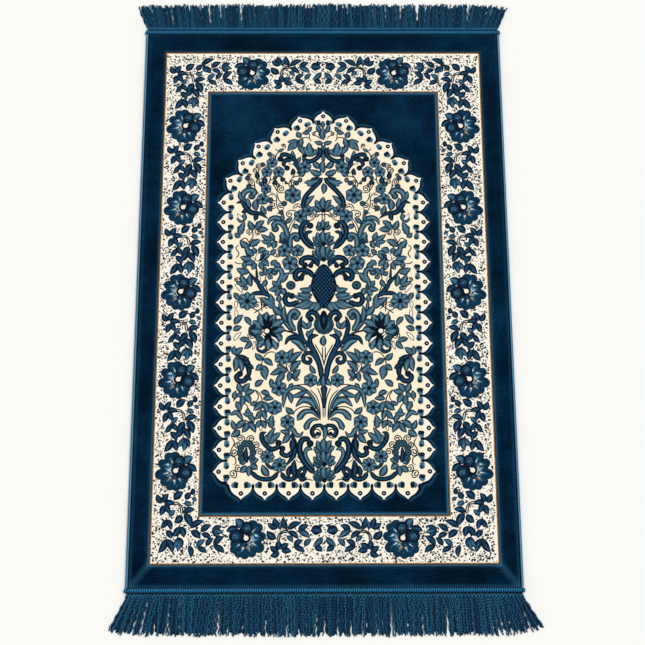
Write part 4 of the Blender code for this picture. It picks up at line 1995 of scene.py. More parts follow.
# Scrolls as width, radius of the ball at their start, taper and points.
BLUE_SCROLLS = (
    (3, 0, STEM, ((0, 303), (-1, 286), (-1, 268))),
    (10, 6, STEM, ((-139, 196), (-134, 204), (-143, 209), (-153, 204), (-157, 191), (-145, 173))),
    (9, 0, TAPERED, ((-108, 138), (-104, 148), (-93, 152), (-80, 145), (-70, 126))),
    (9, 6.5, STEM, ((-94, 130), (-97, 138), (-88, 143), (-77, 134), (-69, 112))),
    (8, 6, STEM, ((-53, 110), (-50, 116), (-58, 118), (-65, 110), (-65, 88))),
    (4.5, 0, TAPERED, ((-30, 137), (-38, 130), (-39, 116), (-31, 102), (-22, 92))),
    (8, 6, STEM, ((-95, 43), (-92, 50), (-83, 47), (-81, 36), (-87, 22), (-86, 10))),
    (5, 0, STEM, ((-85, -14), (-83, -30), (-76, -52), (-60, -72))),
    (8.5, 5.5, STEM, ((-55, -45), (-50, -39), (-58, -33), (-66, -42), (-64, -58), (-55, -72))),
    (12, 0, TAPERED, ((-64, -90), (-50, -94), (-38, -108), (-34, -100))),
    (8, 0, HORN, ((-10, -240), (-18, -208), (-34, -187), (-55, -179), (-73, -190), (-77, -217))),
    (12, 0, TAPERED, ((-18, -220), (-27, -206), (-41, -203), (-54, -215))),
    (12, 0, HORN, ((-13, -236), (-24, -225), (-39, -226), (-51, -241))),
    (11, 0, HORN, ((-13, -240), (-23, -239), (-31, -245), (-37, -259))),
    (8, 0, TAPERED, ((-173, -231), (-162, -226), (-155, -233), (-150, -241))),
    (8, 0, TAPERED, ((-68, -258), (-60, -257), (-54, -267), (-46, -269), (-41, -262))),
    (6, 0, STEM, ((-24, -295), (-33, -293), (-37, -304), (-29, -321), (-20, -332))),
)
DARK_SCROLLS = (
    (7.5, 4, STEM, ((-39, 279), (-39, 271), (-30, 268), (-20, 271), (-11, 279), (-8, 289), (-13, 297))),
    (9, 5, BLADE, ((-85, 273), (-82, 281), (-74, 282), (-62, 276), (-53, 264), (-50, 246))),
    (8, 4.5, TAPERED, ((-72, 254), (-79, 262), (-73, 271), (-61, 268), (-53, 256), (-50, 246))),
    (7.5, 0, STEM, ((-4, 233), (-14, 221), (-29, 205), (-39, 190), (-42, 168))),
    (9, 0, TAPERED, ((-168, 182), (-158, 184), (-150, 173), (-140, 163), (-122, 160), (-109, 151))),
    (8.5, 5.5, STEM, ((-28, 136), (-35, 143), (-43, 136), (-45, 120), (-36, 103), (-20, 89))),
    (5, 0, STEM, ((-24, 124), (-33, 122), (-35, 112), (-24, 98))),
    (8.5, 5, STEM, ((-38, 57), (-45, 62), (-40, 70), (-28, 72), (-17, 66), (-12, 54))),
    (5, 4, STEM, ((-27, 56), (-24, 62), (-18, 61))),
    (8.5, 5, STEM, ((-45, 31), (-53, 29), (-56, 38), (-50, 46), (-38, 47), (-27, 41), (-23, 32))),
    (4, 3.5, STEM, ((-42, 37), (-38, 41), (-31, 39))),
    (9, 0, BLADE, ((-102, -6), (-116, 6), (-126, 24), (-129, 52))),
    (5, 0, TAPERED, ((-108, 2), (-126, 22), (-144, 44))),
    (7, 0, TAPERED, ((-141, -6), (-132, 1), (-116, 1), (-102, -5))),
    (8, 5, STEM, ((-62, -4), (-70, -1), (-75, -10), (-70, -20), (-58, -19), (-49, -13))),
    (7, 0, TAPERED, ((-43, -44), (-48, -60), (-44, -80), (-33, -102))),
    (8, 5, STEM, ((-27, -49), (-32, -43), (-27, -36), (-18, -38), (-13, -48), (-14, -66))),
    (6, 0, BLADE, ((-128, -60), (-138, -66), (-139, -76), (-130, -83))),
    (7, 0, BLADE, ((-108, -105), (-114, -112), (-124, -108), (-126, -97))),
    (10, 0, TAPERED, ((-165, -119), (-150, -124), (-142, -138), (-140, -152), (-144, -166))),
    (8, 5, STEM, ((-157, -154), (-163, -159), (-159, -167), (-148, -166), (-141, -154))),
    (8.5, 0, BLADE, ((-6, -172), (-10, -140), (-22, -112), (-40, -89), (-60, -75), (-79, -71))),
    (7.5, 0, TAPERED, ((-74, -98), (-67, -86), (-52, -84), (-36, -96))),
    (6, 0, STEM, ((-33, -122), (-27, -126), (-30, -133), (-39, -130), (-40, -120), (-32, -114),
                  (-21, -119), (-12, -136), (-8, -160))),
    (7, 0, STEM, ((-13, -80), (-25, -83), (-28, -94), (-15, -122), (-5, -156))),
    (8, 0, BLADE, ((0, -176), (-2, -196), (-2, -218))),
    (5, 3, STEM, ((-14, -266), (-21, -269), (-24, -260), (-18, -252), (-8, -251), (-3, -262))),
    (7, 5, STEM, ((-85, -283), (-86, -290), (-97, -294), (-108, -287), (-115, -276),
                  (-115, -266), (-108, -263))),
    (8.5, 0, TAPERED, ((-62, -266), (-56, -284), (-58, -305), (-72, -325))),
    (7, 4.5, STEM, ((-78, -293), (-79, -302), (-69, -306), (-59, -298))),
    (4.5, 0, STEM, ((-104, -292), (-105, -300), (-106, -320), (-98, -328), (-90, -328))),
    (6.5, 0, STEM, ((-135, -334), (-123, -345), (-108, -349), (-94, -346), (-85, -335))),
    (7, 0, STEM, ((-80, -336), (-74, -346), (-63, -349), (-53, -343), (-50, -331))),
    (8.5, 5.5, STEM, ((-28, -284), (-33, -276), (-42, -277), (-47, -290), (-44, -308),
                      (-33, -325), (-18, -340))),
    (5, 4, STEM, ((-41, -341), (-37, -334), (-43, -329), (-49, -338), (-44, -348), (-34, -346))),
    (5, 0, STEM, ((-22, -334), (-32, -329), (-44, -329))),
)
# The dark rays of the big open flower, as tip x, tip y and width.
RAYS = (
    (-116, -43, 8), (-106, -40, 7), (-97, -47, 7), (-84, -64, 8), (-87, -86, 8), (-98, -102, 7),
    (-122, -60, 6), (-112, -96, 6),
)
VINES = (
    # the point of the arch and the thicket below it
    Vine(((-25, 309), (-29, 316), (-29, 327))),
    Vine(((-28, 316), (-38, 318), (-51, 312))),
    Vine(((-9, 312), (-13, 320), (-19, 322)), (-20, 326)),
    Vine(((-6, 326), (-16, 331), (-25, 326))),
    Vine(((-44, 302), (-40, 296), (-34, 291))),
    Vine(((-100, 264), (-95, 272), (-93, 282), (-87, 289), (-79, 292))),
    Vine(((-95, 272), (-96, 280), (-102, 283)), (-101, 277)),
    Vine(((-81, 293), (-76, 297), (-76, 301)), (-80, 301)),
    Vine(((-87, 289), (-92, 291), (-95, 296))),
    Vine(((-108, 256), (-116, 261), (-124, 254), (-127, 245), (-126, 236))),
    Vine(((-120, 259), (-124, 263), (-129, 262)), (-128, 258)),
    Vine(((-127, 247), (-128, 254), (-133, 254)), (-133, 249)),
    Vine(((-126, 240), (-131, 242), (-137, 242))),
    Vine(((-149, 233), (-141, 233), (-135, 226), (-133, 212), (-124, 197))),
    Vine(((-142, 233), (-148, 236), (-147, 241)), (-144, 239)),
    Vine(((-137, 229), (-144, 230), (-147, 226)), (-142, 225)),
    Vine(((-144, 216), (-137, 219), (-133, 213))),
    Vine(((-120, 240), (-121, 231), (-127, 231)), (-127, 226)),
    Vine(((-110, 218), (-105, 227), (-104, 238))),
    Vine(((-106, 228), (-100, 231), (-95, 234))),
    Vine(((-102, 226), (-95, 214), (-90, 206), (-84, 203), (-76, 205))),
    Vine(((-94, 218), (-90, 223), (-86, 219)), (-90, 218)),
    Vine(((-88, 205), (-91, 211), (-87, 217)), (-84, 211)),
    Vine(((-106, 204), (-98, 201), (-92, 193), (-92, 180), (-88, 168), (-83, 164))),
    Vine(((-92, 205), (-90, 196), (-86, 186), (-78, 181))),
    Vine(((-78, 181), (-78, 174), (-84, 173)), (-84, 178)),
    Vine(((-92, 187), (-98, 187), (-104, 189))),
    Vine(((-91, 176), (-97, 171), (-104, 175)), (-99, 178)),
    Vine(((-105, 172), (-100, 163))),
    Vine(((-77, 172), (-84, 164), (-92, 160))),
    Vine(((-108, 196), (-103, 200), (-98, 196))),
    Vine(((-67, 212), (-68, 223), (-62, 234), (-56, 244))),
    Vine(((-68, 219), (-74, 226), (-80, 230))),
    Vine(((-62, 234), (-55, 237), (-47, 237))),
    Vine(((-68, 222), (-62, 229), (-57, 226)), (-61, 223)),
    Vine(((-56, 244), (-49, 246), (-45, 254))),
    # the shoulders
    Vine(((-61, 169), (-57, 178), (-49, 180), (-43, 173))),
    Vine(((-58, 170), (-52, 175), (-44, 171))),
    Vine(((-50, 162), (-59, 167), (-68, 166)), (-67, 159)),
    Vine(((-36, 147), (-26, 147), (-19, 153)), (-24, 156)),
    Vine(((-1, 163), (-11, 165), (-18, 160)), (-15, 157)),
    Vine(((-1, 157), (-8, 159), (-15, 154))),
    Vine(((0, 166), (0, 146))),
    Vine(((-154, 146), (-151, 138))),
    Vine(((-137, 128), (-136, 114), (-142, 104), (-142, 92))),
    Vine(((-136, 119), (-142, 117), (-148, 123)), (-142, 124)),
    Vine(((-134, 119), (-128, 117), (-122, 122)), (-128, 123)),
    Vine(((-142, 100), (-150, 111), (-161, 105))),
    Vine(((-100, 107), (-88, 103), (-74, 98))),
    Vine(((-70, 124), (-66, 137), (-58, 150))),
    Vine(((-66, 120), (-62, 134), (-56, 146))),
    Vine(((-71, 98), (-62, 80), (-50, 64))),
    Vine(((-66, 94), (-57, 78), (-46, 67))),
    Vine(((-108, 77), (-100, 78), (-94, 74), (-88, 73)), (-89, 77)),
    Vine(((-162, 98), (-168, 91), (-162, 80), (-168, 70))),
    Vine(((-171, 64), (-164, 60), (-156, 60))),
    Vine(((-158, 22), (-161, 31), (-166, 32)), (-166, 28)),
    Vine(((-111, 38), (-112, 20), (-106, 2))),
    # the tangle under the ring flower
    Vine(((-128, -7), (-121, -9), (-119, -20), (-117, -36))),
    Vine(((-136, -27), (-126, -32), (-117, -27), (-110, -22))),
    Vine(((-119, -18), (-124, -16), (-130, -19)), (-127, -22)),
    Vine(((-119, -14), (-113, -15), (-111, -19)), (-115, -19)),
    Vine(((-116, -21), (-107, -30))),
    Vine(((-133, -38), (-125, -33), (-122, -40))),
    Vine(((-86, -18), (-86, -32), (-78, -55), (-64, -73))),
    Vine(((-108, -76), (-118, -74), (-126, -82), (-135, -86), (-142, -84)), (-138, -80)),
    Vine(((-106, -84), (-118, -90), (-128, -92), (-132, -100))),
    # the middle of the tree
    Vine(((-91, -114), (-100, -112), (-110, -117), (-116, -130), (-118, -146))),
    Vine(((-73, -127), (-71, -142), (-62, -158), (-55, -168))),
    Vine(((-71, -138), (-66, -128), (-58, -118), (-44, -111))),
    Vine(((-69, -142), (-58, -131), (-44, -129))),
    Vine(((0, -102), (0, -130))),
    Vine(((-20, -96), (-6, -122), (-2, -140))),
    Vine(((-24, -176), (-40, -174), (-58, -177), (-70, -186))),
    # the bough of the lower side
    Vine(((-152, -195), (-164, -198), (-168, -207))),
    Vine(((-140, -186), (-128, -185), (-118, -195), (-115, -212), (-118, -224))),
    Vine(((-128, -186), (-122, -196), (-126, -206))),
    Vine(((-106, -222), (-98, -229), (-92, -229))),
    Vine(((-148, -208), (-142, -216), (-141, -232))),
    Vine(((-118, -226), (-118, -250))),
    Vine(((-152, -241), (-140, -243), (-132, -244))),
    # the fountain
    Vine(((-4, -238), (-5, -214), (-9, -194), (-16, -178))),
    Vine(((-9, -240), (-11, -214), (-17, -196), (-30, -182))),
    Vine(((-14, -226), (-26, -217), (-42, -216), (-54, -222), (-60, -233))),
    Vine(((-12, -232), (-20, -222), (-30, -217))),
    Vine(((-7, -248), (-20, -249), (-28, -260), (-24, -272)), (-17, -264)),
    # curls round the foot's cone
    Vine(((-172, -270), (-165, -282), (-170, -294), (-172, -304), (-163, -310), (-162, -320),
          (-168, -323))),
    Vine(((-147, -284), (-147, -273), (-154, -268)), (-154, -274)),
    Vine(((-142, -282), (-142, -273), (-135, -269)), (-135, -275)),
    Vine(((-151, -284), (-158, -281), (-164, -286)), (-158, -287)),
    Vine(((-131, -290), (-131, -283), (-125, -281)), (-125, -287)),
    Vine(((-171, -298), (-168, -306), (-162, -306)), (-165, -300)),
    Vine(((-127, -303), (-125, -296), (-119, -293)), (-119, -299)),
    Vine(((-152, -325), (-160, -323), (-163, -330)), (-157, -330)),
    Vine(((-172, -344), (-162, -346), (-160, -339)), (-167, -339)),
    Vine(((-50, -343), (-44, -353), (-32, -349), (-22, -352))),
    Vine(((-112, -330), (-108, -340))),
)


@dataclass
class NicheGarden:
    """The flowering tree of the niche: outlined leaves, blooms, palmettes and scrolls on cream."""

    ground: float = 5.6
    middle: float = -2.5
    pomegranate_half: float = 24.3
    pomegranate_span: tuple[float, float] = (59.0, -29.0)
    mesh_pitch: float = 7.0
    open_flower: tuple[float, float] = (-106.0, -72.0)
    drawing: Drawing = field(init=False)

    def __post_init__(self) -> None:
        """Open the drawing."""
        self.drawing = Drawing(self.ground)

    def build(self, outline: NicheOutline) -> list[bpy.types.Object]:
        """Draw the niche's pattern and make a piece of each yarn.

        Args:
            outline: the niche's outline, for the marks in its scallops.

        Returns:
            The pieces, one a yarn.
        """
        drawing = self.drawing
        centre = Pen()
        for flip in (1, -1):
            self._half(Pen(-flip * self.middle, 0.0, 0.0, 1.0, flip))
        for y, reach, petals, spread in AXIS_FANS:
            drawing.fan(centre, Fan(0.0, y, reach, petals, spread))
        for row in AXIS_LEAVES:
            drawing.leaf(centre, Leaf(*row), 0.3)
        drawing.begin(0.2)
        drawing.disc(centre, BLUE, 0.0, -60.0, 18.0, True)
        drawing.disc(centre, DARK, 0.0, -51.0, 6.5, True, 2.5)
        self._pomegranate()
        for cell in outline.scallops():
            self._cell(cell)
        finishes = {
            Yarn.INK: INK,
            Yarn.BLUE: LEAF_BLUE,
            Yarn.DARK: DEEP_BLUE,
            Yarn.MESH: MESH_BLUE,
            Yarn.HEART: HEART_BLUE,
            Yarn.PALE: MARK_BLUE,
            Yarn.WHITE: WHITE,
        }
        return drawing.pieces("niche", finishes)

    def _half(self, pen: Pen) -> None:
        """Draw one half of the pattern.

        Args:
            pen: where it is drawn.
        """
        drawing = self.drawing
        for vine in VINES:
            drawing.vine(pen, vine)
        for row in BLUE_SCROLLS:
            drawing.scroll(pen, Scroll(*row), BLUE)
        for row in DARK_SCROLLS:
            drawing.scroll(pen, Scroll(*row), DARK, 0.14)
        for row in LEAVES:
            drawing.leaf(pen, Leaf(*row))
        for row in BLOOMS:
            drawing.bloom(pen, Bloom(*row))
        for row in DARK_LEAVES:
            drawing.leaf(pen, Leaf(*row, DARK), 0.26)
        for row in TONGUES:
            drawing.leaf(pen, Leaf(*row, Yarn.WHITE), 0.3)
        for x, y, radius in BUDS:
            drawing.begin(0.24)
            drawing.disc(pen, BLUE, x, y, radius, True)
            drawing.disc(pen, Yarn.HEART, x, y, 0.35 * radius)
        self._open_flower(pen)

    def _open_flower(self, pen: Pen) -> None:
        """Draw the dark rays and the white heart of the big open flower.

        Args:
            pen: where it is drawn.
        """
        x, y = self.open_flower
        self.drawing.begin(0.3)
        for tip_x, tip_y, width in RAYS:
            middle = ((x + tip_x) / 2.0, (y + tip_y) / 2.0)
            self.drawing.stroke(
                pen, Yarn.HEART, ((x, y), middle, (tip_x, tip_y)), width, Taper.LEAF, False
            )
        self.drawing.disc(pen, Yarn.HEART, x - 1.0, y, 7.5)
        self.drawing.disc(pen, Yarn.WHITE, x - 2.0, y, 4.4)

    def _pomegranate(self) -> None:
        """Draw the dark pomegranate on the axis, with the blue meshes of its net."""
        drawing = self.drawing
        drawing.begin(0.34)
        top, foot = self.pomegranate_span
        middle = vec(0.0, (top + foot) / 2.0)
        count = 40
        rim = [self._skin(TURN * k / count) for k in range(count)]
        drawing.blot(Yarn.HEART, middle, rim, 0.3)
        pitch = self.mesh_pitch
        reach = int(60 / pitch)
        for row in range(-reach, reach + 1):
            for column in range(-reach, reach + 1):
                spot = vec((row - column) * pitch / 2.0, middle.y + (row + column) * pitch / 1.7)
                if self._within(spot, 3.2):
                    drawing.level = 0.38
                    rim = around(spot, 0.37 * pitch, 4, 1.2)
                    drawing.blot(Yarn.MESH, spot, rim)

    def _skin(self, angle: float) -> Vector:
        """Return a point of the pomegranate's outline, blunt above and pointed below.

        Args:
            angle: the point's angle from the middle, in radians.

        Returns:
            The point.
        """
        top, foot = self.pomegranate_span
        half = (top - foot) / 2.0
        x = self.pomegranate_half * cos(angle) * self._fullness(sin(angle))
        return vec(x, (top + foot) / 2.0 + half * sin(angle))

    def _within(self, point: Vector, margin: float) -> bool:
        """Return whether a point lies inside the pomegranate by this margin.

        Args:
            point: the point.
            margin: how far inside it has to lie.

        Returns:
            Whether it does.
        """
        top, foot = self.pomegranate_span
        half = (top - foot) / 2.0 - margin
        share = (point.y - (top + foot) / 2.0) / half
        if abs(share) >= 1.0:
            return False
        wide = (self.pomegranate_half - margin) * (1.0 - share**2) ** 0.5
        return abs(point.x) < wide * self._fullness(share)

    @staticmethod
    def _fullness(rise: float) -> float:
        """Return how full the fruit is at a rise from -1 at its foot to 1 at its top."""
        return 1.0 - (0.55 if rise < 0.0 else 0.3) * abs(rise) ** 1.7

    def _cell(self, cell: Scallop) -> None:
        """Draw the marks of one scallop: its ring, two shaded marks, its barb and its valley.

        Args:
            cell: the scallop.
        """
        drawing = self.drawing
        pen = Pen()
        width = (cell.end - cell.start).length
        ring = cell.at(width / 2.0, 0.55 * cell.depth)
        drawing.begin(0.1)
        drawing.disc(pen, Yarn.INK, ring.x, ring.y, 4.4)
        drawing.disc(pen, Yarn.WHITE, ring.x, ring.y, 1.2)
        for side in (1.0, -1.0):
            lower = cell.at(width / 2.0 + side, 0.0).y <= cell.at(width / 2.0, 0.0).y + 0.3
            for inward, outward, radius, yarn in LOWER_MARK if lower else UPPER_MARK:
                spot = cell.at(width / 2.0 + side * inward, outward)
                drawing.disc(pen, yarn, spot.x, spot.y, radius)
        drawing.begin(0.92)
        for start, reach, wide in (
            (cell.at(width / 2.0, cell.depth - 1.5), 8.5, 2.8), (cell.start - cell.out() * 2.5, 13.0, 5.4)
        ):
            end = start + cell.out() * reach
            route = ((start.x, start.y), (end.x, end.y))
            drawing.stroke(pen, Yarn.HEART, route, wide, Taper.LEAF, False)


# A scallop's shaded marks, as discs: how far from its middle, how far out, radius and yarn.
LOWER_MARK = (
    (13.0, 0.8, 5.0, PALE), (10.4, -1.6, 4.6, PALE), (8.8, 2.6, 3.7, DARK), (8.6, -1.4, 3.9, DARK),
    (8.2, 0.6, 2.3, Yarn.HEART),
)
UPPER_MARK = ((13.0, 0.8, 4.8, PALE), (9.4, 0.6, 5.2, PALE), (8.0, -0.6, 3.2, DARK))


# The yarn trims: bindings, end cords and fringes


@dataclass
class SideBinding:
    """One overcast edge: yarn whipped over the panel's long side in slanting turns."""

    name: str
    side: int
    half_width: float = 350.0
    width: float = 6.2
    height: float = 7.2
    reach: float = 540.1
    pitch: float = 2.7
    rings_a_turn: int = 4
    sides: int = 10
    slant: float = 1.2

    def build(self, finish: bpy.types.Material) -> bpy.types.Object:
        """Make the binding as one closed body.

        Args:
            finish: the edge yarn's material.

        Returns:
            The binding.
        """
        draft = MeshDraft()
        step = self.pitch / self.rings_a_turn
        count = int(2.0 * self.reach / step)
        centre = self.side * (self.half_width - self.width / 2.0)
        rings = []
        for index in range(count + 1):
            y = -self.reach + 2.0 * self.reach * index / count
            crest = 0.5 + 0.5 * cos(TURN * index / self.rings_a_turn)
            swell = 0.88 + 0.12 * crest
            ring = []
            for k in range(self.sides):
                angle = TURN * k / self.sides + pi / self.sides
                x = self.width / 2.0 * cos(angle) * swell
                z = self.height / 2.0 * (1.0 + sin(angle) * swell)
                # Painted light: the binding's top is painted lighter as a highlight, most on each turn's
                # crest, and the side that faces the pile is painted dark as shade.
                lit = max(0.0, sin(angle)) ** 10
                body = 0.05 if self.side * cos(angle) < -0.55 else 0.34
                tone = body + lit * (0.4 + 0.26 * crest)
                lean = self.slant * cos(angle)
                at_y = min(self.reach, max(-self.reach, y + lean))
                ring.append(draft.corner(centre + x, at_y, max(0.0, z), tone))
            rings.append(ring)
        draft.tube(rings)
        piece = draft.piece(f"overcast_{self.name}", (finish,), "binding", 60.0)
        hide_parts(self.name)
        return piece


class Swell(NamedTuple):
    """One section of an end cord's knot: its distance from the end and its share of full size."""

    inward: float
    size: float


@dataclass
class EndCord:
    """One whipped cord across a short edge, with its dark bed and the knots at its ends."""

    name: str
    end: int
    half_length: float = 352.5
    middle: float = 545.2
    width: float = 9.0
    height: float = 8.0
    bed_width: float = 9.6
    bed_height: float = 4.4
    pitch: float = 4.6
    rings_a_turn: int = 7
    sides: int = 12
    slant: float = 0.9
    waist: float = 0.24
    swells: tuple[Swell, ...] = (
        Swell(0.0, 0.35), Swell(0.8, 0.82), Swell(2.6, 1.08), Swell(5.2, 1.08), Swell(7.4, 0.82),
        Swell(9.2, 0.96), Swell(12.0, 1.0),
    )

    def build(self, finish: bpy.types.Material) -> bpy.types.Object:
        """Make the cord and its bed as one piece.

        Args:
            finish: the cord yarn's material.

        Returns:
            The cord.
        """
        draft = MeshDraft()
        self._bed(draft)
        count = int(2.0 * self.half_length / self.pitch) * self.rings_a_turn
        rings = []
        for index in range(count + 1):
            x = -self.half_length + 2.0 * self.half_length * index / count
            crest = 0.5 + 0.5 * cos(TURN * index / self.rings_a_turn)
            rings.append(self._section(draft, x, crest))
        draft.tube(rings)
        piece = draft.piece(f"whipped_{self.name}", (finish,), "cord", 60.0)
        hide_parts(self.name)
        return piece

    def _bed(self, draft: MeshDraft) -> None:
        """Lay the dark woven bed that the cord is whipped to, coloured with the cord yarn's painted
        furrow shade.

        Args:
            draft: the mesh to add to.
        """
        half = self.half_length - 4.0
        middle = self.end * self.middle
        low = []
        high = []
        for x, y in ((-1, -1), (-1, 1), (1, 1), (1, -1)):
            low.append(draft.corner(x * half, middle + y * self.bed_width / 2.0, 0.0, 0.0))
            inset = self.bed_width / 2.0 - 0.5
            high.append(draft.corner(x * (half - 0.5), middle + y * inset, self.bed_height, 0.02))
        draft.tube((low, high))

    def _section(self, draft: MeshDraft, x: float, crest: float) -> list[int]:
        """Add one section of the cord, wide at a turn's crest and narrow between turns.

        Args:
            draft: the mesh to add to.
            x: its place along the cord.
            crest: 1 at a turn's crest and 0 between two turns.

        Returns:
            The section's corner numbers.
        """
        size = self._size(self.half_length - abs(x))
        across = self.width / 2.0 * (1.0 - self.waist * (1.0 - crest)) * min(1.0, size)
        up = self.height / 2.0 * (1.0 - 0.14 * (1.0 - crest)) * size
        ring = []
        for k in range(self.sides):
            angle = TURN * k / self.sides
            y = self.end * self.middle + across * cos(angle)
            z = max(0.0, self.height / 2.0 * size + up * sin(angle))
            # Painted light: the cord is painted lighter on top, most on the side towards the rug and on
            # each turn's crest, and dark as shade in the furrows between turns.
            lit = max(0.0, sin(angle)) * (0.75 - 0.25 * cos(angle) * self.end)
            tone = 0.05 + 0.95 * crest**0.6 * (0.25 + 0.75 * lit)
            lean = self.slant * cos(angle) if size == 1.0 else 0.0
            ring.append(draft.corner(x + lean, y, z, tone))
        return ring

    def _size(self, inward: float) -> float:
        """Return the cord's share of full size at a distance from its end.

        Args:
            inward: the distance from the end.

        Returns:
            The share.
        """
        for near, far in zip(self.swells, self.swells[1:]):
            if inward <= far.inward:
                share = (inward - near.inward) / (far.inward - near.inward)
                return near.size + (far.size - near.size) * share
        return 1.0


@dataclass
class Clump:
    """Strands that hang together: where they stand, how they close up and how they lean."""

    first: int
    last: int
    middle: float
    closing: float
    lean: float
    reach: float


@dataclass
class Fringe:
    """One knotted fringe: looped header, a full layer of two-ply strands and a shaded one below."""

    name: str
    end: int
    length: float
    corner_lean: float
    seed: int
    strands: int = 244
    shaded_under_strands: int = 170
    half_width: float = 346.0
    start: float = 550.6
    header: float = 5.2
    middle_lean: float = 5.0
    corner_start: float = 0.80
    radius: float = 1.5
    under_share: float = 2.15
    ply_pitch: float = 5.4
    flatness: float = 0.6
    step: float = 1.6
    loop_pitch: float = 6.0

    def build(self, finish: bpy.types.Material, shaded: bpy.types.Material) -> list[bpy.types.Object]:
        """Make the header, the strands and the layer below them.

        Args:
            finish: the fringe yarn's material.
            shaded: the same yarn's material in the shade below.

        Returns:
            The strands, the layer below and the header.
        """
        rng = random.Random(self.seed)
        clumps = self._clumps(rng)
        upper = MeshDraft()
        for index in range(self.strands):
            clump = next(item for item in clumps if index <= item.last)
            self._strand(upper, index, clump, rng)
        # The layer below is dark, flat tufts that stand in for the shade under the strands.
        lower = MeshDraft()
        for index in range(self.shaded_under_strands):
            place = (index + rng.uniform(-0.4, 0.4)) / (self.shaded_under_strands - 1)
            self._under_strand(lower, 2.0 * place - 1.0, clumps, rng)
        strands = upper.piece(f"{self.name}_strands", (finish,), "fringe", 70.0)
        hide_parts(self.name)
        return [
            strands,
            lower.piece(f"{self.name}_shaded_under_strands", (shaded,), "fringe", 70.0),
            self._loops(finish, rng),
        ]

    def _clumps(self, rng: random.Random) -> list[Clump]:
        """Divide the strands into clumps of uneven size that lean and close up differently.

        Args:
            rng: the source of their sizes and leans.

        Returns:
            The clumps, from left to right.
        """
        clumps = []
        first = 0
        while first < self.strands:
            size = rng.choice((5, 7, 9, 10, 12, 14, 17))
            last = min(self.strands - 1, first + size - 1)
            middle = self._place((first + last) / 2.0)
            closing = rng.choice((0.0, 0.0, 0.03, 0.05, 0.09, 0.13))
            clumps.append(
                Clump(first, last, middle, closing, rng.gauss(0.0, 3.4), rng.uniform(-1.2, 1.2))
            )
            first = last + 1
        return clumps

    def _place(self, index: float) -> float:
        """Return a strand's place from -1 at the left to 1 at the right."""
        return 2.0 * index / (self.strands - 1) - 1.0

    def _lean(self, place: float) -> float:
        """Return how far a strand leans out, in degrees, for its place along the fringe.

        Args:
            place: its place from -1 at the left to 1 at the right.

        Returns:
            The lean.
        """
        side = 1.0 if place > 0.0 else -1.0
        beyond = max(0.0, (abs(place) - self.corner_start) / (1.0 - self.corner_start))
        return side * (self.middle_lean * abs(place) + self.corner_lean * beyond**1.6)

    def _route(
        self,
        place: float,
        clump: Clump,
        length: float,
        heights: tuple[float, float, float],
        step: float,
        rng: random.Random,
    ) -> list[Vector]:
        """Return the middle line of one strand, from the header to its tip.

        Args:
            place: its place from -1 at the left to 1 at the right.
            clump: the clump that it hangs in.
            length: its length below the header.
            heights: its height at its root, a quarter of the way down and at its tip.
            step: how far apart the points are.
            rng: the source of its small sways.

        Returns:
            Points in three dimensions.
        """
        lean = radians(self._lean(place) + clump.lean * rng.uniform(0.6, 1.0) + rng.gauss(0.0, 2.7))
        pull = (clump.middle - place) * self.half_width * clump.closing
        sway = rng.uniform(0.5, 1.3)
        wave = rng.uniform(2.0, 3.4)
        phase = rng.uniform(0.0, TURN)
        count = max(4, round(length / step))
        root, over, tip = heights
        points = []
        for k in range(count + 1):
            share = k / count
            run = length * share
            x = place * self.half_width + run * sin(lean) + pull * share**1.6
            x += sway * sin(phase + run / wave) * min(1.0, share * 4.0)
            y = self.start + self.header + run * cos(lean)
            if share < 0.25:
                z = root + (over - root) * share * 4.0
            else:
                z = over + (tip - over) * ((share - 0.25) / 0.75) ** 1.3
            points.append(Vector((x, self.end * y, z)))
        return points

    def _strand(self, draft: MeshDraft, index: int, clump: Clump, rng: random.Random) -> None:
        """Add one two-ply strand of the upper layer.

        Args:
            draft: the mesh to add to.
            index: its number from the left.
            clump: the clump that it hangs in.
            rng: the source of its unevenness.
        """
        length = self.length - self.header + clump.reach + rng.triangular(-5.0, 1.8, 0.0)
        heights = (2.3, rng.uniform(2.4, 3.4), rng.uniform(1.0, 1.8))
        path = self._route(self._place(index), clump, length, heights, self.step, rng)
        size = self.radius * rng.uniform(0.9, 1.08)
        self._yarn(draft, path, size, 6, rng.uniform(0.0, pi), rng.uniform(-0.22, 0.16))

    def _under_strand(
        self, draft: MeshDraft, place: float, clumps: Sequence[Clump], rng: random.Random
    ) -> None:
        """Add one coarser, flat strand of the layer below, dark to stand in for the shade under the
        fringe.

        Args:
            draft: the mesh to add to.
            place: its place from -1 at the left to 1 at the right.
            clumps: the clumps of the upper layer.
            rng: the source of its unevenness.
        """
        place = max(-1.0, min(1.0, place))
        index = (place + 1.0) / 2.0 * (self.strands - 1)
        clump = next((item for item in clumps if index <= item.last + 0.5), clumps[-1])
        length = self.length - self.header + clump.reach - rng.uniform(1.0, 9.0)
        path = self._route(place, clump, length, (1.2, 1.0, 0.6), 3.4, rng)
        self._yarn(draft, path, self.under_share * self.radius, 4, 0.0, -0.1, 0.0)

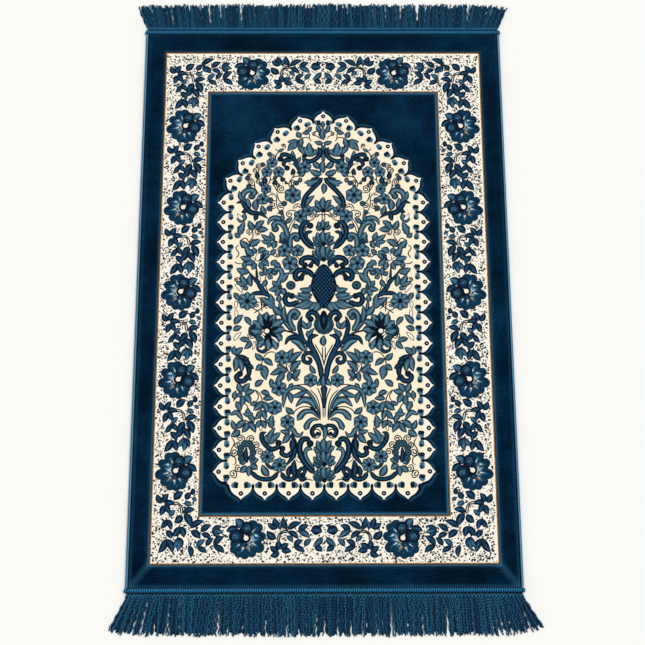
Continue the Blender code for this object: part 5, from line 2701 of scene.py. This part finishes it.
    def _yarn(
        self,
        draft: MeshDraft,
        path: Sequence[Vector],
        size: float,
        sides: int,
        turned: float,
        tint: float,
        twist: float = 1.0,
    ) -> None:
        """Add a strand whose flat section turns along its way, as two plies do.

        Args:
            draft: the mesh to add to.
            path: its middle line.
            size: half its width across both plies.
            sides: the corners of its section.
            turned: how far its section is turned at the root.
            tint: how much lighter or darker it is than the others.
            twist: its share of the full twist, or zero for a flat tuft.
        """
        flatness = self.flatness if twist else 0.25
        rings = []
        travelled = 0.0
        last = len(path) - 1
        for i, point in enumerate(path):
            run = path[min(i + 1, last)] - path[max(i - 1, 0)]
            along = run.normalized()
            side = along.cross(Vector((0.0, 0.0, 1.0))).normalized()
            rise = side.cross(along)
            turn = turned + twist * pi * travelled / self.ply_pitch
            taper = 1.0 if i < last else 0.55
            shade = 0.22 if i == last else (0.1 if i == 0 else 0.0)
            ring = []
            for k in range(sides):
                angle = TURN * k / sides
                wide = size * cos(angle) * taper
                thin = size * flatness * sin(angle) * taper
                across = wide * cos(turn) - thin * sin(turn)
                up = wide * sin(turn) + thin * cos(turn)
                spot = point + side * across + rise * up
                # Painted light: the strand is painted lighter on its upper side and where its plies turn
                # up, and darker as shade at its root and tip.
                tone = 0.36 + tint - shade + 0.5 * abs(cos(angle)) * max(0.0, up / size + 0.3)
                tone += 0.2 * twist * cos(2.0 * turn)
                ring.append(draft.corner(spot.x, spot.y, max(0.02, spot.z), tone))
            rings.append(ring)
            if i < last:
                travelled += (path[i + 1] - point).length
        draft.tube(rings)

    def _loops(self, finish: bpy.types.Material, rng: random.Random) -> bpy.types.Object:
        """Make the header: a row of small pointed loops over a dark strip that stands in for the shade
        under them.

        Args:
            finish: the fringe yarn's material.
            rng: the source of the loops' tints.

        Returns:
            The header.
        """
        draft = MeshDraft()
        half = self.half_width + 1.5
        near = self.end * (self.start - 0.2)
        far = self.end * (self.start + self.header + 0.6)
        strip = ((-half, near), (-half, far), (half, far), (half, near))
        low = [draft.corner(x, y, 0.0) for x, y in strip]
        high = [draft.corner(x * 0.999, y, 2.4) for x, y in strip]
        draft.tube((low, high))
        count = round(2.0 * self.half_width / self.loop_pitch)
        for index in range(count + 1):
            x = -self.half_width + 2.0 * self.half_width * index / count
            self._loop(draft, x, rng.uniform(-0.12, 0.12))
        return draft.piece(f"{self.name}_looped_header", (finish,), "fringe", 70.0)

    def _loop(self, draft: MeshDraft, x: float, tint: float) -> None:
        """Add one loop, a tube that comes up to a point at the cord and goes down again.

        Args:
            draft: the mesh to add to.
            x: its place along the fringe.
            tint: how much lighter or darker it is than the others.
        """
        foot = self.start + self.header + 1.4
        arch = ((-0.5, 0.0, 2.4), (-0.4, 2.2, 3.4), (-0.22, 4.4, 3.9), (0.0, 5.6, 4.1))
        path = []
        for across, back, height in (*arch, *((-a, b, h) for a, b, h in reversed(arch[:-1]))):
            path.append(Vector((x + across * self.loop_pitch, self.end * (foot - back), height)))
        rings = []
        for i, point in enumerate(path):
            along = (path[min(i + 1, 6)] - path[max(i - 1, 0)]).normalized()
            side = along.cross(Vector((0.0, 0.0, 1.0))).normalized()
            ring = []
            for k in range(5):
                angle = TURN * k / 5 + pi / 2.0
                spot = point + side * (0.95 * cos(angle)) + Vector((0.0, 0.0, 0.8 * sin(angle)))
                # Painted highlight: each loop is lighter on its upper side.
                tone = 0.5 + tint + 0.5 * max(0.0, sin(angle))
                ring.append(draft.corner(spot.x, spot.y, spot.z, tone))
            rings.append(ring)
        draft.tube(rings)


# Studio


@dataclass(frozen=True)
class Studio:
    """A seamless white floor, even light from all round and a soft key light from the right.

    Attributes:
        lens_mm: the lens on a 36 mm sensor.
        camera_mm: the camera's place in the rug's frame, in millimetres.
        pitch: the camera's tilt from straight down, in degrees.
        yaw: its turn about the vertical.
        roll: its turn about its own line of sight.
        floor_half_m: half the floor's width.
        floor_gap_m: how far the floor lies below the rug.
    """

    lens_mm: float = 74.57
    camera_mm: tuple[float, float, float] = (-18.94, -761.34, 2383.15)
    pitch: float = 16.536
    yaw: float = -1.3366
    roll: float = 1.2222
    floor_hex: str = "#FCFCF8"
    floor_half_m: float = 12.0
    floor_gap_m: float = 0.0002
    fill_light: float = 0.66
    key_light: float = 1.25
    key_angle: float = 14.0
    key_from: tuple[float, float, float] = (1.0, 0.55, 1.9)

    def build(self) -> None:
        """Make the floor, the lights and the camera."""
        self._floor()
        self._lights()
        self._camera()

    def _floor(self) -> None:
        """Lay the pale floor of painted board, just under the rug."""
        material = new_material("matt_white_painted_board")
        tree = material.node_tree
        shader = tree.nodes["Principled BSDF"]
        place = add_node(tree, "ShaderNodeTexCoord")
        cloud = add_node(
            tree, "ShaderNodeTexNoise", {"Vector": place.outputs["Object"], "Scale": 1.5, "Detail": 2.0}
        )
        colour = add_node(
            tree,
            "ShaderNodeValToRGB",
            {"Fac": cloud.outputs["Fac"]},
            stops=((0.0, "#FBFBF6"), (1.0, self.floor_hex)),
        )
        tree.links.new(colour.outputs["Color"], shader.inputs["Base Color"])
        shader.inputs["Roughness"].default_value = 0.9
        mesh = bpy.data.meshes.new("studio_floor")
        half = self.floor_half_m
        low = -self.floor_gap_m
        corners = [(-half, -half, low), (half, -half, low), (half, half, low), (-half, half, low)]
        mesh.from_pydata(corners, [], [(0, 1, 2, 3)])
        mesh.materials.append(material)
        floor = bpy.data.objects.new("studio_floor", mesh)
        bpy.context.scene.collection.objects.link(floor)

    def _lights(self) -> None:
        """Light the scene evenly from all round, with a soft key from the right."""
        world = bpy.data.worlds.new("studio_light")
        world.use_nodes = True
        sky = world.node_tree.nodes["Background"]
        sky.inputs["Color"].default_value = (1.0, 1.0, 0.995, 1.0)
        sky.inputs["Strength"].default_value = self.fill_light
        bpy.context.scene.world = world
        key = bpy.data.lights.new("key_light", "SUN")
        key.energy = self.key_light
        key.angle = radians(self.key_angle)
        lamp = bpy.data.objects.new("key_light", key)
        lamp.rotation_mode = "QUATERNION"
        lamp.rotation_quaternion = Vector(self.key_from).to_track_quat("Z", "Y")
        bpy.context.scene.collection.objects.link(lamp)
        scene = bpy.context.scene
        scene.view_settings.view_transform = "Standard"
        scene.view_settings.look = "None"

    def _camera(self) -> None:
        """Set the camera where the photo's straight edges put it."""
        data = bpy.data.cameras.new("camera")
        data.sensor_width = 36.0
        data.lens = self.lens_mm
        data.clip_end = 60.0
        camera = bpy.data.objects.new("camera", data)
        turn = (
            Matrix.Rotation(radians(self.yaw), 3, "Z")
            @ Matrix.Rotation(radians(self.pitch), 3, "X")
            @ Matrix.Rotation(radians(self.roll), 3, "Z")
        )
        camera.rotation_mode = "QUATERNION"
        camera.rotation_quaternion = turn.to_quaternion()
        camera.location = Vector(self.camera_mm) * MM
        bpy.context.scene.collection.objects.link(camera)
        bpy.context.scene.camera = camera


# The bindings with their sides, and the end cords with their ends and the pitch of their turns.
SIDES = (("binding_left", -1), ("binding_right", 1))
ENDS = (("end_cord_top", 1, 3.5), ("end_cord_bottom", -1, 4.1))


def main() -> None:
    """Build every part of the rug in order, then the studio."""
    logging.basicConfig(level=logging.INFO, format="%(name)s: %(message)s")
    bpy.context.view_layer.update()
    pile = CutPileVelour().build()
    outline = NicheOutline()
    panel = WovenPanel().build(pile)
    PileBand().build(pile)
    PileField(outline).build(pile)
    FlatGrounds(outline).build()
    GoldLines().build()
    garden = BorderGarden()
    garden.build()
    BorderFlecks().build(garden.drawing.covers)
    NicheGarden().build(outline)
    edge = EDGE_YARN.build()
    trims = [SideBinding(name, side).build(edge) for name, side in SIDES]
    cord = CORD_YARN.build()
    trims += [EndCord(name, end, pitch=pitch).build(cord) for name, end, pitch in ENDS]
    strand = FRINGE_YARN.build()
    shaded = SHADE_UNDER_YARN.build()
    for fringe in (
        Fringe("fringe_top", 1, 60.0, 20.0, 11, loop_pitch=4.0),
        Fringe("fringe_bottom", -1, 73.0, 24.0, 23),
    ):
        trims += fringe.build(strand, shaded)
    Studio().build()


if __name__ == "__main__":
    main()
